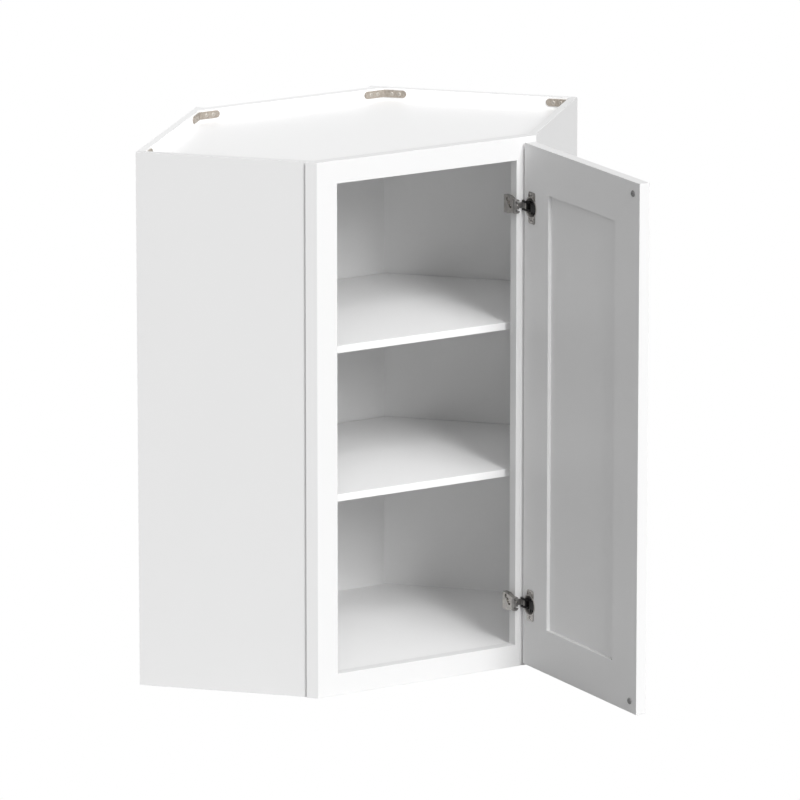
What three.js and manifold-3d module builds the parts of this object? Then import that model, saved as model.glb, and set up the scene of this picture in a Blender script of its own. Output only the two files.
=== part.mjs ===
// Diagonal corner wall cabinet: six-sided carcass, face frame, two shelves and one shaker door.
//
// Millimetres, +Z up. +X runs to the right along the face frame, +Y runs into the cabinet towards the
// corner of the room. The origin is the middle of the underside of the face frame's bottom rail.
// At rest the door stands open by openAngle, as in the photograph. The cabinet is symmetric about X = 0
// apart from the door, its hinges and its bumpers.
import * as THREE from 'three';
import { mergeVertices } from 'three/addons/utils/BufferGeometryUtils.js';
import Module from 'manifold-3d';

// ---------------------------------------------------------------- carcass sizes
const cabinetHeight = 914.4;
const faceWidth = 421;            // between the front corners of the face frame
const sideDepth = 311;            // front corner back to the wall, measured along the side
const wallRun = 368;              // along the wall, from the side to the clipped room corner
const sideThickness = 12.7;
const wallThickness = 12.7;
const rearThickness = 15.9;       // the diagonal panel across the room corner
const rearInset = 12.5;           // how far the diagonal panel sits inside the wall panels' ends
const deckThickness = 12.7;       // top and bottom panels
const topRecess = 20.6;           // from the upper rim down to the top panel
const floorHeight = 35.5;         // upper face of the bottom panel
const dadoDepth = 6;              // how far the decks are let into the walls

// ---------------------------------------------------------------- face frame sizes
const frameThickness = 19;
const stileWidth = 38.1;
const topRailHeight = 39;
const bottomRailHeight = 37.5;
const sideInset = 4;              // the stile stands this far proud of the side panel
const stileLip = 14.3;            // thickness of the proud outer edge of the stile

// ---------------------------------------------------------------- shelf sizes
const shelfThickness = 12.7;
const lowerShelfTop = 335.7;
const upperShelfTop = 590;
const shelfFront = 36.5;          // from the face down to the front edge of a shelf
const shelfClearance = 2;
const pinRadius = 2.5;
const pinDepth = 9;
const pinDrop = 8;                // peg centre below the shelf
const ledgeLength = 12;
const ledgeWidth = 12;
const ledgeThickness = 2;
const backPlateHeight = 12;
const sidePinBack = 80;           // pin places: back along the side, and along the wall
const wallPinDistance = 270;

// ---------------------------------------------------------------- corner bracket sizes
const bracketLeg = 39;
const bracketHeight = 12.5;
const bracketThickness = 2;
const bracketRimGap = 3;          // from the carcass rim to the bracket
const bracketHoleRadius = 2.2;
const bracketHolePlaces = [13.5, 26.5];

// ---------------------------------------------------------------- door sizes
const doorThickness = 19;
const doorOverlay = 8.1;          // cover on the opening's left and right edges
const doorTopReveal = 8.4;
const doorBottomReveal = 5.5;
const doorStileWidth = 76;
const doorRailWidth = 76;
const panelThickness = 6.4;
const panelGroove = 10;
const panelFloat = 1;             // room for the panel and tenons at the bottom of a groove
const openAngle = 90;             // degrees, from shut to the rest pose
const bumperRadius = 5.5;
const bumperFootRadius = 5;
const bumperCrownRadius = 4.1;
const bumperEdgeHeight = 0.5;
const bumperInset = 20;

// ---------------------------------------------------------------- hinge sizes
const hingeInset = 107;           // hinge centre to the door's top and bottom
const knuckleFaceGap = 0.5;       // knuckle to the face frame
const knuckleEdgeGap = 1;         // knuckle to the shut door's edge
const hingePinRadius = 1.2;
const barrelHalf = 5;             // half height of the middle knuckle
const eyeThickness = 3;
const strapThickness = 1.3;
const basePlateThickness = 3;
const armThickness = 5.5;
const armBack = 26;               // arm and base plate: from the face into the cabinet
const armFront = 2;
const armHalfHeight = 15;
const armBevel = 10;
const armFrontHalfHeight = 11;
const lipReach = 6;               // the base plate's lip behind the stile
const lipThickness = 2;
const lipHalfHeight = 10;
const noseDepth = 10;             // in front of the face
const noseHalfHeight = 12;
const nosePastEdge = 2.4;         // beyond the opening's edge, over the stile
const noseWall = 1.5;
const noseWeb = 2.2;              // the nose's back wall, against the stile
const linkDepth = 6.5;            // how far the link reaches into the cup
const linkBar = 3;                // the bar between the link's two arms
const cupSetback = 20.5;          // cup centre to the door's edge
const cupRadius = 17.5;
const cupWall = 1.2;
const cupDepth = 12;
const cupRim = 0.8;
const flangeThickness = 0.9;
const flangeHalfWidth = 10.5;
const flangeHalfHeight = 27;
const flangeCorner = 4;
const flangeSetback = 3.5;        // from the cup's centre to the middle of the flange and its screws
const cupScrewSpread = 42.6;
const screwHeadRadius = 3.4;
const screwHeadTopRadius = 2.7;
const screwHeadHeight = 1.3;
const screwShankRadius = 1.8;
const screwRecess = 2;            // the arm's screw heads lie this deep in it
const adjustSlotReach = 3.5;      // from the adjusting screw to the middle of each end of its slot
const frameScrew = { back: 15, up: 9, length: 22 };
const adjustScrew = { back: 7, up: 1, length: 5 };
const cupScrewLength = 12;

// ---------------------------------------------------------------- soft-close damper sizes
const damperHalfHeight = 7;
const damperFloorGap = 0.6;
const damperBack = 13.5;          // cup centre to the damper body's back
const damperFront = 1.8;          // cup centre to the damper body's front
const damperLegWidth = 3;
const damperLegLength = 4.5;
const damperLegSpread = 6.5;      // between the middles of its two legs
const plungerRadius = 2;
const plungerLength = 14;
const plungerTravel = 4;
const noseClearance = 2.1;        // shut plunger tip to the nose

// ---------------------------------------------------------------- clearances and facets
const fitGap = 0.3;
const grooveGap = 0.3;
const weldTolerance = 1e-5;
const cutMargin = 5;
const cornerFacets = 6;
const smallFacets = 12;
const roundFacets = 16;
const cupFacets = 36;

// ---------------------------------------------------------------- places worked out from the sizes
const halfFace = faceWidth / 2;
const openingEdge = halfFace - stileWidth;
const openingBottom = bottomRailHeight;
const openingTop = cabinetHeight - topRailHeight;
const sideInner = sideInset + sideThickness;
const wallInner = sideDepth - wallThickness;
const wallCornerY = (sideDepth + wallRun) * Math.SQRT1_2;
const rearOuter = wallCornerY - rearInset;
const rearInner = rearOuter - rearThickness;
const topDeckTop = cabinetHeight - topRecess;
const shelfTops = { lower: lowerShelfTop, upper: upperShelfTop };
const doorWidth = 2 * (openingEdge + doorOverlay);
const doorBottom = doorBottomReveal;
const doorTop = cabinetHeight - doorTopReveal;
const doorGap = flangeThickness + strapThickness + 3 * fitGap;
const knuckleRadius = doorGap - knuckleFaceGap;
const hingeOffset = knuckleRadius + knuckleEdgeGap;   // hinge axis to the door's edge
const hingeAxisX = openingEdge + doorOverlay + hingeOffset;
const hingeAxisY = -doorGap;
const doorHingeEdge = -hingeOffset;
const doorFreeEdge = doorHingeEdge - doorWidth;
const cupCentre = doorHingeEdge - cupSetback;
const flangeMiddle = cupCentre - flangeSetback;
const hingeHeights = { upper: doorTop - hingeInset, lower: doorBottom + hingeInset };

// ---------------------------------------------------------------- materials
function paint(color, roughness) {
  return new THREE.MeshStandardMaterial({ color, roughness, metalness: 0 });
}

function metal(color, roughness) {
  return new THREE.MeshStandardMaterial({ color, roughness, metalness: 1 });
}

const whitePaint = paint(0xf2f2f0, 0.45);
const whiteLining = paint(0xececea, 0.5);
const nickel = metal(0x9a958c, 0.35);
const brassPlate = metal(0xa89c7c, 0.4);
const blackPlastic = paint(0x161616, 0.5);
const clearRubber = paint(0xc4c4c0, 0.6);

// ---------------------------------------------------------------- solids, cuts and joins
const wasm = await Module();
wasm.setup();

function solidFrom(geometry) {
  const bare = geometry.clone();
  bare.deleteAttribute('normal');
  bare.deleteAttribute('uv');
  const welded = mergeVertices(bare, weldTolerance);
  const vertProperties = welded.attributes.position.array;
  const triVerts = Uint32Array.from(welded.index.array);
  return new wasm.Manifold(new wasm.Mesh({ numProp: 3, vertProperties, triVerts }));
}

function geometryFrom(solid) {
  const mesh = solid.getMesh();
  const geometry = new THREE.BufferGeometry();
  geometry.setAttribute('position', new THREE.Float32BufferAttribute(mesh.vertProperties, 3));
  geometry.setIndex(Array.from(mesh.triVerts));
  geometry.computeVertexNormals();
  return geometry;
}

function join(first, ...others) {
  let solid = solidFrom(first);
  for (const other of others) solid = solid.add(solidFrom(other));
  return geometryFrom(solid);
}

function cut(body, ...tools) {
  let solid = solidFrom(body);
  for (const tool of tools) solid = solid.subtract(solidFrom(tool));
  return geometryFrom(solid);
}

// ---------------------------------------------------------------- basic shapes
function shapeOf(outline) {
  return new THREE.Shape(outline.map(([x, y]) => new THREE.Vector2(x, y)));
}

// A plan outline, raised from one height to another.
function prism(outline, bottom, top) {
  const geometry = new THREE.ExtrudeGeometry(shapeOf(outline), { depth: top - bottom, bevelEnabled: false });
  geometry.translate(0, 0, bottom);
  return geometry;
}

// A shape drawn in X and Z, thickened along Y from near to far.
function frontPlate(shape, near, far, facets = smallFacets) {
  const options = { depth: far - near, bevelEnabled: false, curveSegments: facets };
  const geometry = new THREE.ExtrudeGeometry(shape, options);
  geometry.rotateX(Math.PI / 2);
  geometry.translate(0, far, 0);
  return geometry;
}

// A shape drawn in Y and Z, thickened along X from left to right.
function sidePlate(shape, left, right) {
  const options = { depth: right - left, bevelEnabled: false, curveSegments: smallFacets };
  const geometry = new THREE.ExtrudeGeometry(shape, options);
  geometry.rotateX(Math.PI / 2);
  geometry.rotateZ(Math.PI / 2);
  geometry.translate(left, 0, 0);
  return geometry;
}

function block(x0, x1, y0, y1, z0, z1) {
  const geometry = new THREE.BoxGeometry(x1 - x0, y1 - y0, z1 - z0);
  geometry.translate((x0 + x1) / 2, (y0 + y1) / 2, (z0 + z1) / 2);
  return geometry;
}

// A round bar along X from x0 to x1.
function barX(radius, x0, x1, y, z, facets = roundFacets) {
  const geometry = new THREE.CylinderGeometry(radius, radius, x1 - x0, facets);
  geometry.rotateZ(Math.PI / 2);
  geometry.translate((x0 + x1) / 2, y, z);
  return geometry;
}

// A round bar along Y from y0 to y1.
function barY(radius, y0, y1, x, z, facets = roundFacets) {
  const geometry = new THREE.CylinderGeometry(radius, radius, y1 - y0, facets);
  geometry.translate(x, (y0 + y1) / 2, z);
  return geometry;
}

// A round bar along Z from z0 to z1.
function barZ(radius, x, y, z0, z1, facets = roundFacets) {
  const geometry = new THREE.CylinderGeometry(radius, radius, z1 - z0, facets);
  geometry.rotateX(Math.PI / 2);
  geometry.translate(x, y, (z0 + z1) / 2);
  return geometry;
}

// A screw along -Y: the head's underside lies at Y = 0 and the head stands up to +Y.
function screw(length) {
  const profile = [
    new THREE.Vector2(0, -length),
    new THREE.Vector2(screwShankRadius, -length + screwShankRadius),
    new THREE.Vector2(screwShankRadius, 0),
    new THREE.Vector2(screwHeadRadius, 0),
    new THREE.Vector2(screwHeadTopRadius, screwHeadHeight),
    new THREE.Vector2(0, screwHeadHeight),
  ];
  return new THREE.LatheGeometry(profile, roundFacets);
}

function addPiece(group, name, geometry, material) {
  const mesh = new THREE.Mesh(geometry, material);
  mesh.name = name;
  group.add(mesh);
  return mesh;
}

// ---------------------------------------------------------------- carcass plan
// A point of the left half: so far back along the side, and so far along the wall from the side.
function carcassPoint(back, along) {
  return [-halfFace + (along - back) * Math.SQRT1_2, (along + back) * Math.SQRT1_2];
}

// Where a line parallel to the side, or to the wall, crosses a given Y.
function xBesideSide(along, y) {
  return -halfFace + along * Math.SQRT2 - y;
}

function xBesideWall(back, y) {
  return -halfFace + y - back * Math.SQRT2;
}

function mirrored(outline) {
  return outline.map(([x, y]) => [-x, y]).reverse();
}

// The six-sided inside of the carcass, shrunk by a clearance, from a front Y to the diagonal panel.
function interiorOutline(clearance, front) {
  const side = sideInner + clearance;
  const wall = wallInner - clearance;
  const rear = rearInner - clearance;
  const leftHalf = [
    [xBesideSide(side, front), front],
    carcassPoint(wall, side),
    [xBesideWall(wall, rear), rear],
  ];
  return [...leftHalf, ...mirrored(leftHalf)];
}

// ---------------------------------------------------------------- carcass panels
const behindFrame = frameThickness + fitGap;
const bottomDeck = { bottom: floorHeight - deckThickness, top: floorHeight };
const topDeck = { bottom: topDeckTop - deckThickness, top: topDeckTop };

function deck(level) {
  return prism(interiorOutline(fitGap - dadoDepth, behindFrame), level.bottom, level.top);
}

function dadoTools() {
  return [bottomDeck, topDeck].map((level) =>
    prism(interiorOutline(-dadoDepth, behindFrame), level.bottom - grooveGap, level.top + grooveGap));
}

function sideOutline() {
  const frontLine = (stileLip + fitGap) * Math.SQRT2;
  return [
    carcassPoint(frontLine - sideInset, sideInset),
    carcassPoint(sideDepth, sideInset),
    carcassPoint(sideDepth, sideInner),
    carcassPoint(frontLine - sideInner, sideInner),
  ];
}

function wallOutline() {
  return [
    carcassPoint(sideDepth, sideInner + fitGap),
    carcassPoint(sideDepth, wallRun),
    carcassPoint(wallInner, wallRun),
    carcassPoint(wallInner, sideInner + fitGap),
  ];
}

function rearOutline() {
  const seat = wallInner - fitGap;
  const leftHalf = [
    [xBesideWall(seat, rearInner), rearInner],
    [xBesideWall(seat, rearOuter), rearOuter],
  ];
  return [...leftHalf, ...mirrored(leftHalf)];
}

// The four shelf supports of each shelf: where each stands, and which way it points into the cabinet.
function pinPlaces() {
  const left = [
    { place: 'side', at: carcassPoint(sidePinBack, sideInner), turn: Math.PI / 4 },
    { place: 'wall', at: carcassPoint(wallInner, wallPinDistance), turn: -Math.PI / 4 },
  ];
  const right = left.map(({ place, at: [x, y], turn }) => ({ place, at: [-x, y], turn: Math.PI - turn }));
  return [
    ...left.map((pin) => ({ ...pin, name: `left_${pin.place}` })),
    ...right.map((pin) => ({ ...pin, name: `right_${pin.place}` })),
  ];
}

function pinHoles(place, hand) {
  const holes = [];
  for (const pin of pinPlaces().filter((entry) => entry.name === `${hand}_${place}`)) {
    for (const shelfTop of Object.values(shelfTops)) {
      const height = shelfTop - shelfThickness - fitGap - pinDrop;
      const hole = barX(pinRadius + fitGap, -pinDepth - fitGap, cutMargin, 0, 0, smallFacets);
      hole.rotateZ(pin.turn);
      hole.translate(pin.at[0], pin.at[1], height);
      holes.push(hole);
    }
  }
  return holes;
}

function addCarcass(group) {
  const dados = dadoTools();
  const hands = { left: (outline) => outline, right: mirrored };
  for (const [hand, turned] of Object.entries(hands)) {
    const side = prism(turned(sideOutline()), 0, cabinetHeight);
    addPiece(group, `${hand}_side_panel`, cut(side, ...dados, ...pinHoles('side', hand)), whitePaint);
    const wall = prism(turned(wallOutline()), 0, cabinetHeight);
    addPiece(group, `${hand}_wall_panel`, cut(wall, ...dados, ...pinHoles('wall', hand)), whiteLining);
  }
  addPiece(group, 'diagonal_back_panel', cut(prism(rearOutline(), 0, cabinetHeight), ...dados), whiteLining);
  addPiece(group, 'bottom_panel', deck(bottomDeck), whiteLining);
  addPiece(group, 'top_panel', deck(topDeck), whiteLining);
}

// ---------------------------------------------------------------- face frame
function stileOutline() {
  const panelFace = sideInner + fitGap;
  return [
    [-halfFace, 0],
    [-openingEdge, 0],
    [-openingEdge, frameThickness],
    [xBesideSide(panelFace, frameThickness), frameThickness],
    [xBesideSide(panelFace, stileLip), stileLip],
    [-halfFace - stileLip, stileLip],
  ];
}

function frameScrewHoles() {
  return Object.values(hingeHeights).map((height) => {
    const far = openingEdge + frameScrew.length;
    const up = height + frameScrew.up;
    return barX(screwShankRadius + fitGap, openingEdge - cutMargin, far, frameScrew.back, up);
  });
}

function addFaceFrame(group) {
  const railEnd = openingEdge - fitGap;
  const rightStile = prism(mirrored(stileOutline()), 0, cabinetHeight);
  addPiece(group, 'face_frame_left_stile', prism(stileOutline(), 0, cabinetHeight), whitePaint);
  addPiece(group, 'face_frame_right_stile', cut(rightStile, ...frameScrewHoles()), whitePaint);
  const topRail = block(-railEnd, railEnd, 0, frameThickness, openingTop, cabinetHeight);
  const bottomRail = block(-railEnd, railEnd, 0, frameThickness, 0, openingBottom);
  addPiece(group, 'face_frame_top_rail', topRail, whitePaint);
  addPiece(group, 'face_frame_bottom_rail', bottomRail, whitePaint);
}

// ---------------------------------------------------------------- shelves
// A shelf support: a peg in the panel, a plate against the panel and a ledge under the shelf.
function shelfSupport() {
  const halfWidth = ledgeWidth / 2;
  const peg = barX(pinRadius, -pinDepth, fitGap + ledgeThickness / 2, 0, -pinDrop, smallFacets);
  const plate = block(fitGap, fitGap + ledgeThickness, -halfWidth, halfWidth, -backPlateHeight, 0);
  const ledge = block(fitGap, ledgeLength, -halfWidth, halfWidth, -ledgeThickness, 0);
  return join(plate, ledge, peg);
}

function addShelves(group) {
  const support = shelfSupport();
  for (const [level, shelfTop] of Object.entries(shelfTops)) {
    const shelfBottom = shelfTop - shelfThickness;
    const outline = interiorOutline(shelfClearance, shelfFront);
    addPiece(group, `${level}_shelf`, prism(outline, shelfBottom, shelfTop), whiteLining);
    for (const { name, at: [x, y], turn } of pinPlaces()) {
      const pin = addPiece(group, `${level}_shelf_support_${name}`, support, nickel);
      pin.position.set(x, y, shelfBottom - fitGap);
      pin.rotation.z = turn;
    }
  }
}

// ---------------------------------------------------------------- corner brackets
function bracketLegShape() {
  const half = bracketHeight / 2;
  const shape = new THREE.Shape();
  shape.moveTo(0, -half);
  shape.lineTo(bracketLeg - half, -half);
  shape.absarc(bracketLeg - half, 0, half, -Math.PI / 2, Math.PI / 2, false);
  shape.lineTo(0, half);
  for (const place of bracketHolePlaces) {
    const hole = new THREE.Path();
    hole.absarc(place, 0, bracketHoleRadius, 0, 2 * Math.PI, true);
    shape.holes.push(hole);
  }
  return shape;
}

// A bent strip in the corner at the origin: one leg along +X, the other turned from it by the angle.
function bracket(angle) {
  const first = frontPlate(bracketLegShape(), 0, bracketThickness, cornerFacets);
  const second = frontPlate(bracketLegShape(), -bracketThickness, 0, cornerFacets);
  second.rotateZ(angle);
  return join(first, second);
}

function addBrackets(group) {
  const corners = interiorOutline(fitGap, behindFrame);
  const names = ['front_left', 'left', 'back_left', 'back_right', 'right', 'front_right'];
  const behindDoor = ['front_left', 'front_right'];
  const topHeight = cabinetHeight - bracketRimGap - bracketHeight / 2;
  const bottomHeight = bracketRimGap + bracketHeight / 2;
  names.forEach((name, index) => {
    const [x, y] = corners[index];
    const [previousX, previousY] = corners.at(index - 1);
    const [nextX, nextY] = corners[(index + 1) % corners.length];
    const turn = Math.atan2(previousY - y, previousX - x);
    const sweep = Math.atan2(nextY - y, nextX - x) - turn;
    const geometry = bracket(THREE.MathUtils.euclideanModulo(sweep, 2 * Math.PI));
    const levels = behindDoor.includes(name) ? { top: topHeight } : { top: topHeight, bottom: bottomHeight };
    for (const [level, height] of Object.entries(levels)) {
      const piece = addPiece(group, `${level}_bracket_${name}`, geometry, brassPlate);
      piece.position.set(x, y, height);
      piece.rotation.z = turn;
    }
  });
}

// ---------------------------------------------------------------- door
// The door's pieces are laid out as if shut, measured from the hinge axis: its inner face is Y = 0
// and it runs from doorHingeEdge to doorFreeEdge.
const panelMiddle = -doorThickness / 2;
const stileInnerHinge = doorHingeEdge - doorStileWidth;
const stileInnerFree = doorFreeEdge + doorStileWidth;
const railLow = doorBottom + doorRailWidth;
const railHigh = doorTop - doorRailWidth;

function centredSlab(thickness) {
  return [panelMiddle - thickness / 2, panelMiddle + thickness / 2];
}

function grooveSlab() {
  return centredSlab(panelThickness + 2 * grooveGap);
}

function hingeStileCuts() {
  const cuts = [block(stileInnerHinge - cutMargin, stileInnerHinge + panelGroove, ...grooveSlab(),
    doorBottom - cutMargin, doorTop + cutMargin)];
  for (const height of Object.values(hingeHeights)) {
    cuts.push(barY(cupRadius + fitGap, -cupDepth - fitGap, cutMargin, cupCentre, height, cupFacets));
    for (const side of [-1, 1]) {
      const at = height + side * cupScrewSpread / 2;
      cuts.push(barY(screwShankRadius + fitGap, -cupScrewLength, cutMargin, flangeMiddle, at));
    }
  }
  return cuts;
}

function doorRail(low, high, grooveLow, grooveHigh) {
  const body = block(stileInnerFree + fitGap, stileInnerHinge - fitGap, -doorThickness, 0, low, high);
  const reach = panelGroove - panelFloat;
  const tenonSlab = centredSlab(panelThickness);
  const tenon = block(stileInnerFree - reach, stileInnerHinge + reach, ...tenonSlab, low, high);
  const groove = block(doorFreeEdge, doorHingeEdge, ...grooveSlab(), grooveLow, grooveHigh);
  return cut(join(body, tenon), groove);
}

function addDoorFrame(group) {
  const hingeStile = block(stileInnerHinge, doorHingeEdge, -doorThickness, 0, doorBottom, doorTop);
  addPiece(group, 'door_hinge_stile', cut(hingeStile, ...hingeStileCuts()), whitePaint);
  const freeStile = block(doorFreeEdge, stileInnerFree, -doorThickness, 0, doorBottom, doorTop);
  const freeGroove = block(stileInnerFree - panelGroove, stileInnerFree + cutMargin, ...grooveSlab(),
    doorBottom - cutMargin, doorTop + cutMargin);
  addPiece(group, 'door_free_stile', cut(freeStile, freeGroove), whitePaint);
  const topRail = doorRail(railHigh, doorTop, railHigh - cutMargin, railHigh + panelGroove);
  const bottomRail = doorRail(doorBottom, railLow, railLow - panelGroove, railLow + cutMargin);
  addPiece(group, 'door_top_rail', topRail, whitePaint);
  addPiece(group, 'door_bottom_rail', bottomRail, whitePaint);
  const reach = panelGroove - panelFloat;
  const panel = block(stileInnerFree - reach, stileInnerHinge + reach, ...centredSlab(panelThickness),
    railLow - reach, railHigh + reach);
  addPiece(group, 'door_panel', panel, whitePaint);
}

// A soft dome on the inner face that meets the face frame when the door shuts.
function bumper() {
  const height = doorGap - 2 * fitGap;
  const profile = [
    new THREE.Vector2(0, 0),
    new THREE.Vector2(bumperFootRadius, 0),
    new THREE.Vector2(bumperRadius, bumperEdgeHeight),
    new THREE.Vector2(bumperCrownRadius, height - bumperEdgeHeight),
    new THREE.Vector2(bumperCrownRadius / 2, height),
    new THREE.Vector2(0, height),
  ];
  return new THREE.LatheGeometry(profile, roundFacets);
}

function addBumpers(group) {
  const heights = { upper: doorTop - bumperInset, lower: doorBottom + bumperInset };
  for (const [level, height] of Object.entries(heights)) {
    const piece = addPiece(group, `${level}_door_bumper`, bumper(), clearRubber);
    piece.position.set(doorFreeEdge + bumperInset, fitGap, height);
  }
}

// ---------------------------------------------------------------- hinges, cabinet side
const plateRight = openingEdge - fitGap;
const plateLeft = plateRight - basePlateThickness;
const armRight = plateLeft - fitGap;
const armLeft = armRight - armThickness;
const screwSeat = armLeft + screwRecess - fitGap;
const noseRight = openingEdge + nosePastEdge;
const eyeLow = barrelHalf + fitGap;
const eyeHigh = eyeLow + eyeThickness;
const cupInside = cupRadius - cupWall;
const linkBarNear = cupCentre + Math.sqrt(cupInside ** 2 - eyeLow ** 2) - fitGap;
const linkBarFar = linkBarNear - linkBar;

function armOutline(front) {
  return shapeOf([
    [armBack, -armHalfHeight],
    [armBack, armHalfHeight],
    [armFront + armBevel, armHalfHeight],
    [front, armFrontHalfHeight],
    [front, -armFrontHalfHeight],
    [armFront + armBevel, -armHalfHeight],
  ]);
}

function armScrewBores(left) {
  const bore = screwShankRadius + fitGap;
  const right = openingEdge + cutMargin;
  return [frameScrew, adjustScrew].map(({ back, up }) => barX(bore, left, right, back, up));
}

// The hollows in the arm's outer face: a round one for the frame screw, and a slanted slot for the other.
function armRecesses() {
  const radius = screwHeadRadius + fitGap;
  const floor = armLeft + screwRecess;
  const hollow = (y, z) => barX(radius, armLeft - cutMargin, floor, y, z);
  const slope = adjustSlotReach * Math.SQRT1_2;
  const slot = block(armLeft - cutMargin, floor, -adjustSlotReach, adjustSlotReach, -radius, radius);
  slot.rotateX(Math.PI / 4);
  slot.translate(0, adjustScrew.back, adjustScrew.up);
  return [
    hollow(frameScrew.back, frameScrew.up),
    hollow(adjustScrew.back - slope, adjustScrew.up - slope),
    hollow(adjustScrew.back + slope, adjustScrew.up + slope),
    slot,
  ];
}

// The base plate lies on the stile's inner edge and hooks behind the stile with a lip.
function basePlate() {
  const lipFront = frameThickness + fitGap;
  const plate = sidePlate(armOutline(armFront), plateLeft, plateRight);
  const lip = block(plateLeft, openingEdge + lipReach, lipFront, lipFront + lipThickness,
    -lipHalfHeight, lipHalfHeight);
  return cut(join(plate, lip), ...armScrewBores(plateLeft - cutMargin));
}

// The nose goes into the hinge cup when the door shuts, so its outline follows the inside of the cup.
function noseShape() {
  const centre = hingeAxisX + cupCentre;
  const radius = cupInside - fitGap;
  const cornerAngle = Math.asin(noseHalfHeight / radius);
  const flatAngle = Math.acos(Math.min(1, (noseRight - centre) / radius));
  const shape = new THREE.Shape();
  shape.moveTo(armLeft, noseHalfHeight);
  shape.lineTo(armLeft, -noseHalfHeight);
  shape.absarc(centre, 0, radius, -cornerAngle, -flatAngle, false);
  shape.absarc(centre, 0, radius, flatAngle, cornerAngle, false);
  return shape;
}

// The nose has two slots that take the link's arms when the door shuts, and a mouth for its bar.
function slottedNose() {
  const front = -noseDepth - cutMargin;
  const right = noseRight + cutMargin;
  const half = eyeHigh + fitGap;
  const cuts = [block(hingeAxisX + linkBarFar - fitGap, right, front, cutMargin, -half, half)];
  for (const low of [eyeLow, -eyeHigh]) {
    const high = low + eyeThickness;
    cuts.push(block(armLeft + noseWall, right, front, -fitGap - noseWeb, low - fitGap, high + fitGap));
  }
  return cut(frontPlate(noseShape(), -noseDepth, -fitGap), ...cuts);
}

function hingeArm() {
  const slab = sidePlate(armOutline(-fitGap - strapThickness), armLeft, armRight);
  const nose = slottedNose();
  const strap = block(armRight, hingeAxisX, -fitGap - strapThickness, -fitGap, -barrelHalf, barrelHalf);
  const barrel = barZ(knuckleRadius, hingeAxisX, hingeAxisY, -barrelHalf, barrelHalf);
  const boreHalf = barrelHalf + cutMargin;
  const bore = barZ(hingePinRadius + fitGap, hingeAxisX, hingeAxisY, -boreHalf, boreHalf);
  const screwCuts = [...armScrewBores(armLeft - cutMargin), ...armRecesses()];
  return cut(join(slab, nose, strap, barrel), bore, ...screwCuts);
}

function addCabinetHinge(group, prefix) {
  addPiece(group, `${prefix}_base_plate`, basePlate(), nickel);
  addPiece(group, `${prefix}_arm`, hingeArm(), nickel);
  const pin = barZ(hingePinRadius, hingeAxisX, hingeAxisY, -eyeHigh, eyeHigh);
  addPiece(group, `${prefix}_pin`, pin, nickel);
  const screws = { frame_screw: frameScrew, adjust_screw: adjustScrew };
  for (const [name, { back, up, length }] of Object.entries(screws)) {
    const piece = addPiece(group, `${prefix}_${name}`, screw(length), nickel);
    piece.position.set(screwSeat, back, up);
    piece.rotation.z = Math.PI / 2;
  }
}

// ---------------------------------------------------------------- hinges, door side
function flangeShape() {
  const corner = flangeCorner;
  const x = flangeHalfWidth;
  const z = flangeHalfHeight;
  const shape = new THREE.Shape();
  shape.absarc(flangeMiddle + x - corner, -z + corner, corner, -Math.PI / 2, 0, false);
  shape.absarc(flangeMiddle + x - corner, z - corner, corner, 0, Math.PI / 2, false);
  shape.absarc(flangeMiddle - x + corner, z - corner, corner, Math.PI / 2, Math.PI, false);
  shape.absarc(flangeMiddle - x + corner, -z + corner, corner, Math.PI, 1.5 * Math.PI, false);
  return shape;
}

// The cup with its screw flange, notched for the link's two arms.
function hingeCup() {
  const seat = fitGap;
  const face = seat + flangeThickness;
  const flange = frontPlate(flangeShape(), seat, face, cornerFacets);
  const rim = barY(cupRadius + cupRim, seat, face, cupCentre, 0, cupFacets);
  const shell = barY(cupRadius, -cupDepth, face, cupCentre, 0, cupFacets);
  const hollow = barY(cupInside, -cupDepth + cupWall, face + cutMargin, cupCentre, 0, cupFacets);
  const cuts = [hollow];
  for (const side of [-1, 1]) {
    const at = side * cupScrewSpread / 2;
    cuts.push(barY(screwShankRadius + fitGap, -cutMargin, face + cutMargin, flangeMiddle, at));
  }
  for (const low of [eyeLow, -eyeHigh]) {
    const notchLow = low - fitGap;
    const notchHigh = low + eyeThickness + fitGap;
    cuts.push(block(linkEnd, 0, -linkDepth - fitGap, face + cutMargin, notchLow, notchHigh));
  }
  return cut(join(flange, rim, shell), ...cuts);
}

const damperFloor = -cupDepth + cupWall + damperFloorGap;
const plungerY = (damperFloor - fitGap) / 2;
const noseFarSide = armLeft - hingeAxisX;
const plungerTip = noseFarSide - noseClearance + plungerTravel;
const linkEnd = noseFarSide + noseWall + fitGap;

// The link: two arms that lie in the cup and turn on the hinge pin, with a bar between them.
function hingeLink() {
  const webFront = doorGap - 2 * fitGap - noseWeb;
  const boreReach = Math.sqrt((cupRadius + fitGap) ** 2 - eyeHigh ** 2);
  const inCup = cupCentre + boreReach - fitGap;
  const pieces = [block(linkBarFar, linkBarNear, -linkDepth, webFront, -eyeHigh, eyeHigh)];
  for (const low of [eyeLow, -eyeHigh]) {
    const high = low + eyeThickness;
    pieces.push(block(linkEnd, inCup, -linkDepth, webFront, low, high));
    pieces.push(block(linkBarFar, inCup, webFront - fitGap, knuckleRadius, low, high));
    pieces.push(block(inCup - fitGap, 0, fitGap, knuckleRadius, low, high));
    pieces.push(barZ(knuckleRadius, 0, 0, low, high));
  }
  const boreHalf = eyeHigh + cutMargin;
  return cut(join(...pieces), barZ(hingePinRadius + fitGap, 0, 0, -boreHalf, boreHalf));
}

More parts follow.
